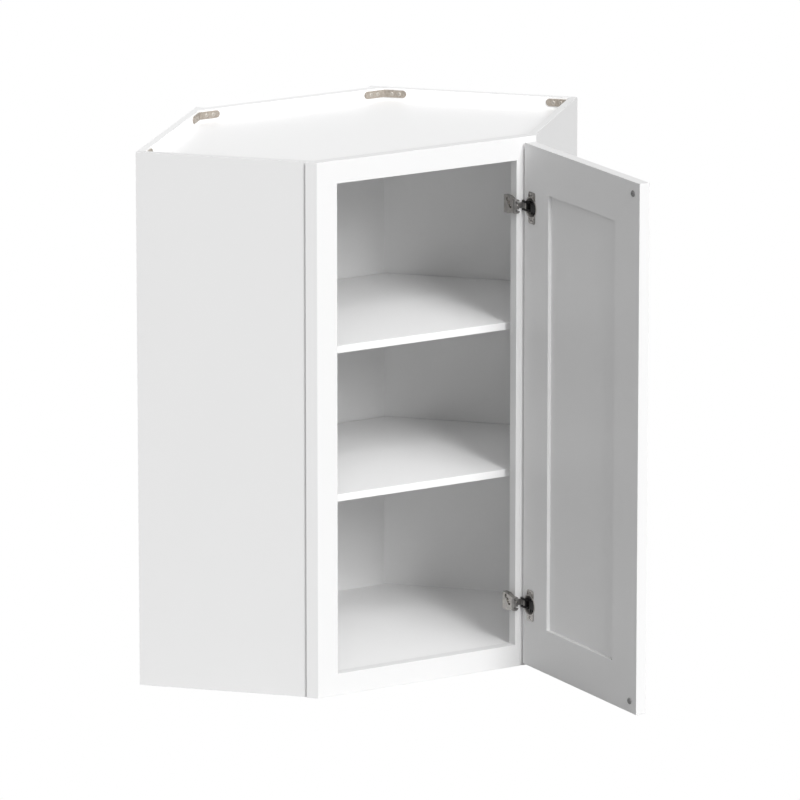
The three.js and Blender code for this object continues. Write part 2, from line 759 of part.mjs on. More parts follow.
function damperBody() {
  const back = cupCentre - damperBack;
  const front = cupCentre + damperFront;
  const pieces = [block(back, front, damperFloor, -fitGap, -damperHalfHeight, damperHalfHeight)];
  const legLow = -damperHalfHeight - damperLegLength;
  for (const side of [-1, 1]) {
    const middle = cupCentre - damperLegSpread / 2 + side * damperLegSpread / 2;
    const half = damperLegWidth / 2;
    pieces.push(block(middle - half, middle + half, damperFloor, -fitGap, legLow, 0));
  }
  const boreEnd = plungerTip - plungerLength - plungerTravel - fitGap;
  return cut(join(...pieces), barX(plungerRadius + fitGap, boreEnd, front + cutMargin, plungerY, 0));
}

function addDoorHinge(group, prefix) {
  addPiece(group, `${prefix}_cup`, hingeCup(), nickel);
  addPiece(group, `${prefix}_link`, hingeLink(), blackPlastic);
  addPiece(group, `${prefix}_damper_body`, damperBody(), blackPlastic);
  const plunger = barX(plungerRadius, plungerTip - plungerLength, plungerTip, plungerY, 0);
  addPiece(group, `${prefix}_damper_plunger`, plunger, blackPlastic);
  for (const [name, side] of Object.entries({ upper: 1, lower: -1 })) {
    const piece = addPiece(group, `${prefix}_cup_screw_${name}`, screw(cupScrewLength - fitGap), nickel);
    piece.position.set(flangeMiddle, 2 * fitGap + flangeThickness, side * cupScrewSpread / 2);
  }
}

// ---------------------------------------------------------------- the whole cabinet
const group = new THREE.Group();

const carcass = new THREE.Group();
carcass.position.y = -frameThickness / 2;
addCarcass(carcass);
addFaceFrame(carcass);
addShelves(carcass);
addBrackets(carcass);
group.add(carcass);

const door = new THREE.Group();
door.position.set(hingeAxisX, hingeAxisY, 0);
door.rotation.z = THREE.MathUtils.degToRad(openAngle);
addDoorFrame(door);
addBumpers(door);
carcass.add(door);

for (const [level, height] of Object.entries(hingeHeights)) {
  const fixedSide = new THREE.Group();
  fixedSide.position.z = height;
  addCabinetHinge(fixedSide, `${level}_hinge`);
  carcass.add(fixedSide);
  const movingSide = new THREE.Group();
  movingSide.position.z = height;
  addDoorHinge(movingSide, `${level}_hinge`);
  door.add(movingSide);
}

export default group;
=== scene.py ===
"""A white diagonal corner wall cabinet with its door open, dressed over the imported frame."""

from __future__ import annotations

import logging
import math
from collections.abc import Callable, Mapping, Sequence
from dataclasses import asdict, dataclass
from enum import Enum

import bmesh
import bpy
from mathutils import Matrix, Vector


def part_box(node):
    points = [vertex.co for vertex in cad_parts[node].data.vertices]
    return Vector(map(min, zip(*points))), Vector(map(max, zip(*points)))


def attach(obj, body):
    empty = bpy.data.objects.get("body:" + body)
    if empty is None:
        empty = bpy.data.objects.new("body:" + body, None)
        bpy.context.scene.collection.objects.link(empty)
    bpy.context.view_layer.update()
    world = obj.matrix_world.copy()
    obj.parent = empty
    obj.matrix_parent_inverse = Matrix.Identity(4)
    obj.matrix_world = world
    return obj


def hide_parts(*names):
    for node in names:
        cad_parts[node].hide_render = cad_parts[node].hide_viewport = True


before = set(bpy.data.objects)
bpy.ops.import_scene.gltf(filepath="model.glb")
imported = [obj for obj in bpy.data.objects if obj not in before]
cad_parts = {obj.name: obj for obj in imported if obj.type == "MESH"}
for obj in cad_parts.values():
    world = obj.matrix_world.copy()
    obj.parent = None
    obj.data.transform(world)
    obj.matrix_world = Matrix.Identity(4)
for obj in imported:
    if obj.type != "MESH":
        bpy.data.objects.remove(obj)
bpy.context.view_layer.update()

MM = 0.001
CREASE = 34.0  # degrees; edges that bend more than this stay crisp
OVERRUN = 5.0  # mm; how far a cutting tool reaches past the piece
NEAR = 0.1  # mm; places closer than this count as one
LOG = logging.getLogger("corner_cabinet")

Point = tuple[float, float]
Outline = list[Point]
Colour = tuple[float, float, float, float]


class Body(Enum):
    """The bodies of the frame that a piece can ride on."""

    CABINET = "cabinet"
    DOOR = "door"
    UPPER_PLUNGER = "upper_plunger"
    LOWER_PLUNGER = "lower_plunger"


class Hand(Enum):
    """The two sides of the cabinet; the value is the sign of X."""

    LEFT = -1
    RIGHT = 1

    @property
    def word(self) -> str:
        """The side's name in node names."""
        return self.name.lower()


class Level(Enum):
    """The two heights at which hinges, bumpers and shelves stand."""

    UPPER = "upper"
    LOWER = "lower"

    @property
    def plunger_body(self) -> Body:
        """The body of this level's damper plunger."""
        return Body(f"{self.value}_plunger")


# ---------------------------------------------------------------- mesh work, in millimetres


def outward(mesh: bmesh.types.BMesh) -> bmesh.types.BMesh:
    """Make every face of a closed mesh look outwards."""
    bmesh.ops.recalc_face_normals(mesh, faces=mesh.faces)
    if mesh.calc_volume(signed=True) < 0:
        bmesh.ops.reverse_faces(mesh, faces=mesh.faces)
    return mesh


def prism(outline: Sequence[Point], low: float, high: float) -> bmesh.types.BMesh:
    """Raise a plan outline from one height to another.

    Args:
        outline: the corners in X and Y.
        low: the height of the underside.
        high: the height of the top.

    Returns:
        A closed mesh with one face for each flat side.
    """
    mesh = bmesh.new()
    floor = [mesh.verts.new((x, y, low)) for x, y in outline]
    roof = [mesh.verts.new((x, y, high)) for x, y in outline]
    mesh.faces.new(floor)
    mesh.faces.new(roof)
    for first in range(len(outline)):
        second = (first + 1) % len(outline)
        mesh.faces.new((floor[first], floor[second], roof[second], roof[first]))
    return outward(mesh)


def block(low: Sequence[float], high: Sequence[float]) -> bmesh.types.BMesh:
    """Make a squared piece between two corners."""
    corners = [(low[0], low[1]), (high[0], low[1]), (high[0], high[1]), (low[0], high[1])]
    return prism(corners, low[2], high[2])


def facing_front(mesh: bmesh.types.BMesh) -> bmesh.types.BMesh:
    """Stand a flat shape up: its plan goes to X and Z, and its height to Y."""
    for vert in mesh.verts:
        vert.co = Vector((vert.co.x, vert.co.z, vert.co.y))
    return outward(mesh)


def facing_side(mesh: bmesh.types.BMesh) -> bmesh.types.BMesh:
    """Stand a flat shape up: its plan goes to Y and Z, and its height to X."""
    for vert in mesh.verts:
        vert.co = Vector((vert.co.z, vert.co.x, vert.co.y))
    return outward(mesh)


def turned(profile: Sequence[Point], facets: int) -> bmesh.types.BMesh:
    """Turn a profile about Z, as on a lathe.

    Args:
        profile: pairs of radius and height, from one end to the other; an end at radius 0 is a pole.
        facets: how many faces go round.

    Returns:
        A closed mesh.
    """
    mesh = bmesh.new()
    rings: list[list[bmesh.types.BMVert]] = []
    for radius, height in profile:
        if radius == 0:
            rings.append([mesh.verts.new((0, 0, height))])
            continue
        angles = [2 * math.pi * step / facets for step in range(facets)]
        rings.append([mesh.verts.new((radius * math.cos(a), radius * math.sin(a), height)) for a in angles])
    for ring, after in zip(rings, rings[1:]):
        for step in range(facets):
            following = (step + 1) % facets
            around = [ring[step % len(ring)], ring[following % len(ring)],
                      after[following % len(after)], after[step % len(after)]]
            mesh.faces.new(list(dict.fromkeys(around)))
    for ring in (rings[0], rings[-1]):
        if len(ring) > 1:
            mesh.faces.new(ring)
    return outward(mesh)


def arc(middle: Point, radius: float, start: float, end: float, steps: int = 8) -> Outline:
    """Points on an arc, from one angle to another in degrees."""
    angles = [math.radians(start + (end - start) * step / steps) for step in range(steps + 1)]
    return [(middle[0] + radius * math.cos(a), middle[1] + radius * math.sin(a)) for a in angles]


def rounded(low: Point, high: Point, radius: float) -> Outline:
    """Draw a rectangle with round corners.

    Args:
        low: the lower left corner.
        high: the upper right corner.
        radius: the radius of its corners.

    Returns:
        The corners of the outline, going left about.
    """
    middles = [(high[0] - radius, low[1] + radius), (high[0] - radius, high[1] - radius),
               (low[0] + radius, high[1] - radius), (low[0] + radius, low[1] + radius)]
    return [spot for middle, start in zip(middles, (-90, 0, 90, 180))
            for spot in arc(middle, radius, start, start + 90, 6)]


def round_bar(radius: float, length: float, facets: int, nose: float = 0.0) -> bmesh.types.BMesh:
    """Turn a bar along Z from 0 to its length, with a chamfer at both ends if a nose is given."""
    profile = [(0.0, 0.0), (radius - nose, 0.0), (radius, nose), (radius, length - nose),
               (radius - nose, length), (0.0, length)]
    return turned(list(dict.fromkeys(profile)), facets)


def moved(mesh: bmesh.types.BMesh, *steps: Matrix) -> bmesh.types.BMesh:
    """Move a mesh by one step after another."""
    for step in steps:
        mesh.transform(step)
    return mesh


def shift(x: float = 0.0, y: float = 0.0, z: float = 0.0) -> Matrix:
    """A step along the axes."""
    return Matrix.Translation((x, y, z))


def turn(degrees: float, axis: str) -> Matrix:
    """A turn about an axis through the origin."""
    return Matrix.Rotation(math.radians(degrees), 4, axis)


ALONG_X = turn(90, "Y")
ALONG_Y = turn(-90, "X")


def ease(
    mesh: bmesh.types.BMesh,
    width: float,
    stays_sharp: Callable[[Vector, Vector], bool] = lambda middle, run: False,
    least_angle: float = 25.0,
    segments: int = 2,
) -> bmesh.types.BMesh:
    """Round the outer arrises of a piece, as sanding or tumbling does.

    Args:
        mesh: the piece.
        width: how far the rounding reaches from the arris.
        stays_sharp: tells from an edge's middle and its direction whether it stays as it is.
        least_angle: edges that bend less than this are left alone.
        segments: how many faces make the rounding.

    Returns:
        The same mesh, rounded.
    """
    chosen = []
    for edge in mesh.edges:
        if len(edge.link_faces) != 2 or edge.calc_face_angle(0.0) < math.radians(least_angle):
            continue
        start, end = edge.verts[0].co, edge.verts[1].co
        if not stays_sharp((start + end) / 2, (end - start).normalized()):
            chosen.append(edge)
    bmesh.ops.bevel(mesh, geom=chosen, offset=width, segments=segments, profile=0.5, affect="EDGES",
                    clamp_overlap=True)
    return mesh


def in_scene(name: str, data: bpy.types.ID) -> bpy.types.Object:
    """Put a mesh, a light or a camera into the scene, at the origin."""
    made = bpy.data.objects.new(name, data)
    bpy.context.scene.collection.objects.link(made)
    return made


def loose_object(mesh: bmesh.types.BMesh, name: str) -> bpy.types.Object:
    """Turn a mesh into an object in the scene and free the mesh."""
    data = bpy.data.meshes.new(name)
    mesh.to_mesh(data)
    mesh.free()
    return in_scene(name, data)


def discard(spent: bpy.types.Object) -> None:
    """Remove an object and its mesh."""
    worn = spent.data
    bpy.data.objects.remove(spent)
    bpy.data.meshes.remove(worn)


def settled(made: bpy.types.Object) -> bpy.types.Mesh:
    """Work an object's modifiers into its mesh.

    Args:
        made: the object, which keeps its name and loses its modifiers.

    Returns:
        The object's new mesh.
    """
    bpy.context.view_layer.update()
    graph = bpy.context.evaluated_depsgraph_get()
    worn, data = made.data, bpy.data.meshes.new_from_object(made.evaluated_get(graph), depsgraph=graph)
    made.modifiers.clear()
    made.data = data
    bpy.data.meshes.remove(worn)
    data.name = made.name
    return data


def combined(
    mesh: bmesh.types.BMesh, tools: Sequence[bmesh.types.BMesh], operation: str
) -> bmesh.types.BMesh:
    """Cut tools out of a piece, or join them to it.

    Args:
        mesh: the piece.
        tools: the meshes to cut away or to add.
        operation: DIFFERENCE or UNION.

    Returns:
        The result as a new mesh; the meshes given are freed.
    """
    work = loose_object(mesh, "work")
    helpers = [loose_object(tool, "tool") for tool in tools]
    for helper in helpers:
        step = work.modifiers.new("step", "BOOLEAN")
        step.operation, step.solver, step.object = operation, "EXACT", helper
    result = bmesh.new()
    result.from_mesh(settled(work))
    for spent in [work, *helpers]:
        discard(spent)
    bmesh.ops.remove_doubles(result, verts=result.verts, dist=1e-3)
    bmesh.ops.dissolve_limit(result, angle_limit=math.radians(0.5), verts=result.verts, edges=result.edges)
    return result


def cut(mesh: bmesh.types.BMesh, *tools: bmesh.types.BMesh) -> bmesh.types.BMesh:
    """Cut tools out of a piece."""
    return combined(mesh, tools, "DIFFERENCE")


def fused(mesh: bmesh.types.BMesh, *others: bmesh.types.BMesh) -> bmesh.types.BMesh:
    """Join pieces into one solid."""
    return combined(mesh, others, "UNION")


# ---------------------------------------------------------------- node work


@dataclass(frozen=True)
class Signal:
    """A value or colour that runs through a material, with arithmetic on values."""

    sheet: Sheet
    socket: bpy.types.NodeSocket

    def _worked(self, operation: str, other: Signal | float) -> Signal:
        """Add one Math node and return its result."""
        node = self.sheet.add("ShaderNodeMath", {"operation": operation}, {0: self, 1: other})
        return Signal(self.sheet, node.outputs[0])

    def __add__(self, other: Signal | float) -> Signal:
        """This value plus another."""
        return self._worked("ADD", other)

    def __mul__(self, other: Signal | float) -> Signal:
        """This value times another."""
        return self._worked("MULTIPLY", other)

    def between(self, low: float, high: float) -> Signal:
        """Spread a value of 0 to 1 over a range, and hold it there."""
        sockets = {"Value": self, "To Min": low, "To Max": high}
        return Signal(self.sheet, self.sheet.add("ShaderNodeMapRange", {"clamp": True}, sockets).outputs[0])

    def stepped(self, low: float, high: float) -> Signal:
        """Rise smoothly from 0 to 1 as the value goes from low to high."""
        settings = {"interpolation_type": "SMOOTHSTEP"}
        sockets = {"Value": self, "From Min": low, "From Max": high}
        return Signal(self.sheet, self.sheet.add("ShaderNodeMapRange", settings, sockets).outputs[0])

    def blend(self, start: Colour, end: Colour) -> Signal:
        """Mix two colours by this value."""
        node = self.sheet.add("ShaderNodeMix", {"data_type": "RGBA"}, {0: self, 6: start, 7: end})
        return Signal(self.sheet, node.outputs[2])


class NodeSheet:
    """A node tree, and the one way to add a node to it."""

    def __init__(self, tree: bpy.types.NodeTree) -> None:
        """Take a tree and clear it."""
        self.tree = tree
        self.tree.nodes.clear()

    def add(
        self,
        kind: str,
        settings: Mapping[str, object] | None = None,
        sockets: Mapping[str | int, object] | None = None,
    ) -> bpy.types.Node:
        """Add one node.

        Args:
            kind: the node's type.
            settings: its properties, which are set first.
            sockets: plain values, signals or sockets for its inputs; a list links several.

        Returns:
            The new node.
        """
        node = self.tree.nodes.new(kind)
        for name, value in (settings or {}).items():
            setattr(node, name, value)
        for key, value in (sockets or {}).items():
            for single in value if isinstance(value, list) else [value]:
                source = single.socket if isinstance(single, Signal) else single
                if isinstance(source, bpy.types.NodeSocket):
                    self.tree.links.new(source, node.inputs[key])
                else:
                    node.inputs[key].default_value = source
        return node


class Sheet(NodeSheet):
    """One material and its nodes."""

    def __init__(self, name: str) -> None:
        """Start an empty material."""
        self.material = bpy.data.materials.new(name)
        self.material.use_nodes = True
        super().__init__(self.material.node_tree)
        self.place = Signal(self, self.add("ShaderNodeTexCoord").outputs["Object"])

    def stretched(self, scale: Sequence[float], degrees: Sequence[float] = (0, 0, 0)) -> Signal:
        """Object coordinates turned and stretched, for a grain that runs one way."""
        turned_by = tuple(math.radians(angle) for angle in degrees)
        node = self.add("ShaderNodeMapping", None,
                        {"Vector": self.place, "Rotation": turned_by, "Scale": tuple(scale)})
        return Signal(self, node.outputs[0])

    def noise(self, scale: float, detail: float = 2.0, place: Signal | None = None) -> Signal:
        """A cloudy value about 0.5, with so many clouds to a metre."""
        sockets = {"Vector": place or self.place, "Scale": scale, "Detail": detail}
        return Signal(self, self.add("ShaderNodeTexNoise", None, sockets).outputs[0])

    def bump(self, height: Signal, depth: float, strength: float) -> Signal:
        """A normal from a height of 0 to 1 that stands for a depth in metres."""
        sockets = {"Strength": strength, "Distance": depth, "Height": height}
        return Signal(self, self.add("ShaderNodeBump", None, sockets).outputs[0])

    def close(self, surface: bpy.types.NodeSocket) -> bpy.types.Material:
        """Give the material its surface and return it."""
        self.add("ShaderNodeOutputMaterial", None, {"Surface": surface})
        return self.material

    def coat(self, sockets: Mapping[str | int, object]) -> bpy.types.Material:
        """Close the sheet with one shader and return the material."""
        return self.close(self.add("ShaderNodeBsdfPrincipled", None, sockets).outputs[0])


def grey(value: float, warmth: float = 0.0) -> Colour:
    """A grey, made warmer by taking from its blue."""
    return (value * (1 + warmth), value, value * (1 - warmth), 1.0)


@dataclass(frozen=True)
class Finish:
    """What a surface is coated with; each kind of finish says how its material is made."""

    name: str
    slot: str

    def material(self) -> bpy.types.Material:
        """Return this finish's material, made the first time that it is asked for."""
        return bpy.data.materials.get(self.name) or self.made()

    def made(self) -> bpy.types.Material:
        """Make the material."""
        raise NotImplementedError


@dataclass(frozen=True)
class SprayedPaint(Finish):
    """Satin white paint with the faint orange peel of a spray gun."""

    tone: float = 0.84
    drift: float = 0.006
    peel_per_metre: float = 520.0
    peel_depth: float = 0.00003
    sheen_low: float = 0.36
    sheen_high: float = 0.46

    def made(self) -> bpy.types.Material:
        """Make the paint."""
        sheet = Sheet(self.name)
        cloud = sheet.noise(7.0)
        fine, coarse = sheet.noise(self.peel_per_metre, 1.5), sheet.noise(self.peel_per_metre / 6, 1.0)
        return sheet.coat({
            "Base Color": cloud.blend(grey(self.tone - self.drift), grey(self.tone + self.drift)),
            "Roughness": sheet.noise(38.0, 3.0).between(self.sheen_low, self.sheen_high),
            "Specular IOR Level": 0.42,
            "Normal": sheet.bump(fine * 0.75 + coarse * 0.25, self.peel_depth, 0.5),
        })


@dataclass(frozen=True)
class PressedLining(Finish):
    """The white lining of the plywood panels, with the veneer's grain just felt through it."""

    tone: float = 0.93
    drift: float = 0.006
    grain: tuple[float, float, float] = (1.0, 1.0, 0.035)
    grain_depth: float = 0.00003

    def made(self) -> bpy.types.Material:
        """Make the lining."""
        sheet = Sheet(self.name)
        grain = sheet.noise(650.0, 3.0, sheet.stretched(self.grain))
        pores = sheet.noise(260.0, 2.0, sheet.stretched(self.grain)).stepped(0.35, 0.62)
        height = grain * 0.6 + pores * 0.4
        return sheet.coat({
            "Base Color": sheet.noise(5.0).blend(grey(self.tone - self.drift), grey(self.tone + self.drift)),
            "Roughness": height.between(0.4, 0.52),
            "Specular IOR Level": 0.42,
            "Normal": sheet.bump(height, self.grain_depth, 0.5),
        })


@dataclass(frozen=True)
class PlatedSteel(Finish):
    """Plated steel, with the clouding of the bath and fine marks from tumbling."""

    dark: Colour = (0.4, 0.385, 0.37, 1.0)
    light: Colour = (0.52, 0.5, 0.475, 1.0)
    metallic: float = 1.0
    gloss_low: float = 0.12
    gloss_high: float = 0.24
    cloud_per_metre: float = 160.0
    mark_depth: float = 0.00004

    def made(self) -> bpy.types.Material:
        """Make the plating."""
        sheet = Sheet(self.name)
        cloud = sheet.noise(self.cloud_per_metre, 4.0).stepped(0.32, 0.68)
        marks = sheet.noise(1500.0, 2.0, sheet.stretched((0.15, 1.0, 1.0), (18, 35, 12)))
        return sheet.coat({
            "Base Color": cloud.blend(self.dark, self.light),
            "Metallic": self.metallic,
            "Roughness": (cloud * 0.5 + marks * 0.5).between(self.gloss_low, self.gloss_high),
            "Normal": sheet.bump(marks, self.mark_depth, 0.35),
        })


@dataclass(frozen=True)
class MouldedPlastic(Finish):
    """Matt black plastic with the fine grain of its mould."""

    tone: float = 0.014

    def made(self) -> bpy.types.Material:
        """Make the plastic."""
        sheet = Sheet(self.name)
        grain = sheet.noise(2400.0, 1.5)
        return sheet.coat({
            "Base Color": sheet.noise(90.0).blend(grey(self.tone * 0.8), grey(self.tone * 1.3)),
            "Roughness": grain.between(0.42, 0.58),
            "Normal": sheet.bump(grain, 0.00003, 0.4),
        })


@dataclass(frozen=True)
class ClearRubber(Finish):
    """The cast rubber of the door bumpers, grey and a little cloudy."""

    tone: float = 0.2

    def made(self) -> bpy.types.Material:
        """Make the rubber."""
        sheet = Sheet(self.name)
        cloud = sheet.noise(420.0, 2.0)
        return sheet.coat({
            "Base Color": cloud.blend(grey(self.tone * 0.85), grey(self.tone * 1.15)),
            "Roughness": cloud.between(0.22, 0.34),
            "Subsurface Weight": 0.25,
            "Subsurface Radius": (0.002, 0.002, 0.002),
            "Coat Weight": 0.3,
            "Normal": sheet.bump(sheet.noise(900.0, 1.0), 0.00002, 0.3),
        })


class Finishes:
    """The finishes of this cabinet."""

    PAINT = SprayedPaint("sprayed_white_paint", "white_paint")
    LINING = PressedLining("white_panel_lining", "white_lining")
    NICKEL = PlatedSteel("nickel_plate", "nickel")
    # a darker, rougher copy of the nickel plate: painted shade on the nose housing and the knuckle strap
    DULL_NICKEL = PlatedSteel("dull_nickel_plate", "nickel", dark=(0.27, 0.262, 0.255, 1.0),
                              light=(0.36, 0.35, 0.34, 1.0), metallic=0.75, gloss_low=0.34, gloss_high=0.48)
    # a lighter, rougher copy of the nickel plate: painted light in the deep, shaded hollow of the cup
    SATIN_NICKEL = PlatedSteel("satin_nickel_plate", "nickel", dark=(0.5, 0.48, 0.46, 1.0),
                               light=(0.62, 0.6, 0.58, 1.0), metallic=0.55, gloss_low=0.42, gloss_high=0.58)
    ZINC = PlatedSteel("zinc_plate", "plated_bracket", dark=(0.33, 0.29, 0.25, 1.0),
                       light=(0.42, 0.375, 0.325, 1.0), metallic=0.35, gloss_low=0.4, gloss_high=0.6,
                       cloud_per_metre=220.0)
    ZINC_SCREW = PlatedSteel("zinc_screw", "plated_bracket", dark=(0.44, 0.41, 0.37, 1.0),
                             light=(0.56, 0.52, 0.47, 1.0), metallic=0.4, gloss_low=0.35, gloss_high=0.5,
                             cloud_per_metre=400.0)
    BLACK = MouldedPlastic("black_moulded_plastic", "black_plastic")
    RUBBER = ClearRubber("clear_cast_rubber", "clear_rubber")


# ---------------------------------------------------------------- from working millimetres to pieces


@dataclass(frozen=True)
class Bench:
    """Where a sub-assembly is worked on: its own millimetres, and the way from there to the frame."""

    body: Body
    to_frame: Matrix

    def piece(
        self,
        name: str,
        mesh: bmesh.types.BMesh,
        finish: Finish,
        replaced: Sequence[str] = (),
        body: Body | None = None,
        crease: float = CREASE,
    ) -> None:
        """Turn a mesh into a finished piece of the object.

        Args:
            name: the piece's name.
            mesh: its shape in the bench's millimetres; it is freed.
            finish: what it is coated with.
            replaced: the CAD nodes that it stands for.
            body: the body that it rides on, if not the bench's own.
            crease: edges that bend more than this many degrees stay crisp.
        """
        mesh.transform(self.to_frame)
        outward(mesh)
        made = loose_object(mesh, name)
        made.data.shade_smooth()
        made.data.set_sharp_from_angle(angle=math.radians(crease))
        weighted = made.modifiers.new("weighted", "WEIGHTED_NORMAL")
        weighted.keep_sharp = True
        settled(made).materials.append(finish.material())
        self.hand_over(made, finish, replaced, body)

    def hand_over(
        self, made: bpy.types.Object, finish: Finish, replaced: Sequence[str] = (), body: Body | None = None
    ) -> None:
        """Hang a finished object on the body that it rides on, and hide the CAD nodes that it stands for.

        Args:
            made: the finished object, at the origin.
            finish: not used.
            replaced: the CAD nodes that it stands for.
            body: the body that it rides on, if not the bench's own.
        """
        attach(made, (body or self.body).value)
        if replaced:
            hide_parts(*replaced)
        LOG.info("%-34s %6d faces on %s", made.name, len(made.data.polygons), (body or self.body).value)


def benches() -> tuple[Bench, Bench]:
    """Find the two benches from the frame itself.

    Returns:
        The cabinet's bench, whose Y is 0 at the front of the face frame, and the door's, in which the
        door lies as if it were shut, measured from the hinge axis.
    """
    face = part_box("face_frame_top_rail")[0].y
    low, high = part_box("upper_hinge_pin")
    axis = (low + high) / 2
    scale = Matrix.Scale(MM, 4)
    cabinet = Bench(Body.CABINET, shift(y=face) @ scale)
    door = Bench(Body.DOOR, shift(axis.x, axis.y) @ turn(90, "Z") @ scale)
    return cabinet, door


# ---------------------------------------------------------------- the plan of the carcass


@dataclass(frozen=True)
class Plan:
    """The six-sided plan of the cabinet, the heights of its decks and the places of its shelf pins."""

    height: float = 914.4
    half_face: float = 210.5
    opening_edge: float = 172.4
    opening_low: float = 37.5
    opening_high: float = 875.4
    frame_thickness: float = 19.0
    stile_lip: float = 14.3
    side_depth: float = 311.0
    wall_run: float = 368.0
    side_inset: float = 4.0
    panel: float = 12.7
    rear_panel: float = 15.9
    rear_inset: float = 12.5
    floor_top: float = 35.5
    ceiling_top: float = 893.8
    dado: float = 6.0
    pin_back: float = 80.0
    pin_along: float = 270.0

    @property
    def side_inner(self) -> float:
        """From the corner of the face to the inside of the side panel, along the wall."""
        return self.side_inset + self.panel

    @property
    def wall_inner(self) -> float:
        """From the corner of the face back to the inside of the wall panel."""
        return self.side_depth - self.panel

    @property
    def rear_outer(self) -> float:
        """The outside of the diagonal back panel."""
        return (self.side_depth + self.wall_run) * math.sqrt(0.5) - self.rear_inset

    @property
    def rear_inner(self) -> float:
        """The inside of the diagonal back panel."""
        return self.rear_outer - self.rear_panel

    def point(self, back: float, along: float) -> Point:
        """A point of the left half: so far back along the side, and so far along the wall."""
        return (-self.half_face + (along - back) * math.sqrt(0.5), (along + back) * math.sqrt(0.5))

    def beside_side(self, along: float, y: float) -> Point:
        """Where a line parallel to the left side crosses a given Y."""
        return (-self.half_face + along * math.sqrt(2) - y, y)

    def beside_wall(self, back: float, y: float) -> Point:
        """Where a line parallel to the left wall crosses a given Y."""
        return (-self.half_face + y - back * math.sqrt(2), y)

    def inside(self, clearance: float, front: float) -> Outline:
        """Draw the inside of the carcass.

        Args:
            clearance: how far the outline keeps from the panels.
            front: the Y at which it starts.

        Returns:
            The six corners, from the front left one by way of the back to the front right one.
        """
        side, wall = self.side_inner + clearance, self.wall_inner - clearance
        left = [self.beside_side(side, front), self.point(wall, side),
                self.beside_wall(wall, self.rear_inner - clearance)]
        return left + [(-x, y) for x, y in reversed(left)]

    def pin_spot(self, hand: Hand, panel: str) -> tuple[Point, float]:
        """Find where the shelf supports stand on one panel.

        Args:
            hand: the side of the cabinet.
            panel: side or wall.

        Returns:
            The place in plan, and the heading in degrees that the supports look in.
        """
        (x, y), heading = {"side": (self.point(self.pin_back, self.side_inner), 45.0),
                           "wall": (self.point(self.wall_inner, self.pin_along), -45.0)}[panel]
        return ((x, y), heading) if hand is Hand.LEFT else ((-x, y), 180.0 - heading)


def for_hand(outline: Outline, hand: Hand) -> Outline:
    """Mirror an outline of the left half for the other side."""
    return outline if hand is Hand.LEFT else [(-x, y) for x, y in reversed(outline)]


# ---------------------------------------------------------------- geometry nodes


class PatternTree(NodeSheet):
    """A geometry node tree with named inputs, which sets copies of a pattern out on points."""

    def __init__(self, name: str) -> None:
        """Start a tree that takes points and a finish and returns geometry."""
        super().__init__(bpy.data.node_groups.new(name, "GeometryNodeTree"))
        self.inputs: dict[str, str] = {}
        self.declare("Places", "NodeSocketGeometry")
        self.declare("Finish", "NodeSocketMaterial")
        self.tree.interface.new_socket("Made", in_out="OUTPUT", socket_type="NodeSocketGeometry")
        self.entry = self.add("NodeGroupInput")

    def declare(self, name: str, kind: str) -> None:
        """Add a named input."""
        socket = self.tree.interface.new_socket(name, in_out="INPUT", socket_type=kind)
        self.inputs[name] = socket.identifier

    def given(self, name: str) -> bpy.types.NodeSocket:
        """The socket of a named input."""
        return self.entry.outputs[name]

    def attribute(self, name: str, kind: str) -> bpy.types.NodeSocket:
        """The socket of an attribute of the points."""
        node = self.add("GeometryNodeInputNamedAttribute", {"data_type": kind}, {"Name": name})
        return next(socket for socket in node.outputs if socket.enabled)

    def times(self, first: object, second: object) -> bpy.types.NodeSocket:
        """The product of two numbers or sockets."""
        return self.add("ShaderNodeMath", {"operation": "MULTIPLY"}, {0: first, 1: second}).outputs[0]

    def triple(self, x: object, y: object, z: object) -> bpy.types.NodeSocket:
        """A vector from three numbers or sockets."""
        return self.add("ShaderNodeCombineXYZ", None, {0: x, 1: y, 2: z}).outputs[0]

    def merged(self, operation: str, meshes: Mapping[str, object]) -> bpy.types.NodeSocket:
        """The union of meshes, or the difference between two."""
        settings = {"operation": operation, "solver": "EXACT"}
        return self.add("GeometryNodeMeshBoolean", settings, meshes).outputs[0]

    def set_out(self, pattern: bpy.types.NodeSocket) -> None:
        """End the tree with a copy of the pattern on each point, its Z along the point's facing."""
        facing = self.attribute("facing", "FLOAT_VECTOR")
        aligned = self.add("FunctionNodeAlignRotationToVector", {"axis": "Z"},
                           {"Vector": facing}).outputs[0]
        spin = self.add("FunctionNodeAxisAngleToRotation", None,
                        {"Axis": (0, 0, 1), "Angle": self.attribute("spin", "FLOAT")}).outputs[0]
        rotation = self.add("FunctionNodeRotateRotation", {"rotation_space": "LOCAL"},
                            {"Rotation": aligned, "Rotate By": spin}).outputs[0]
        copies = self.add("GeometryNodeInstanceOnPoints", None, {
            "Points": self.given("Places"), "Instance": pattern, "Rotation": rotation,
        }).outputs[0]
        real = self.add("GeometryNodeRealizeInstances", None, {"Geometry": copies}).outputs[0]
        coated = self.add("GeometryNodeSetMaterial", None,
                          {"Geometry": real, "Material": self.given("Finish")}).outputs[0]
        self.add("NodeGroupOutput", None, {0: coated})


@dataclass(frozen=True)
class Place:
    """Where one repeated piece goes, in its bench's millimetres; its spin is in degrees."""

    at: tuple[float, float, float]
    facing: tuple[float, float, float]
    spin: float = 0.0


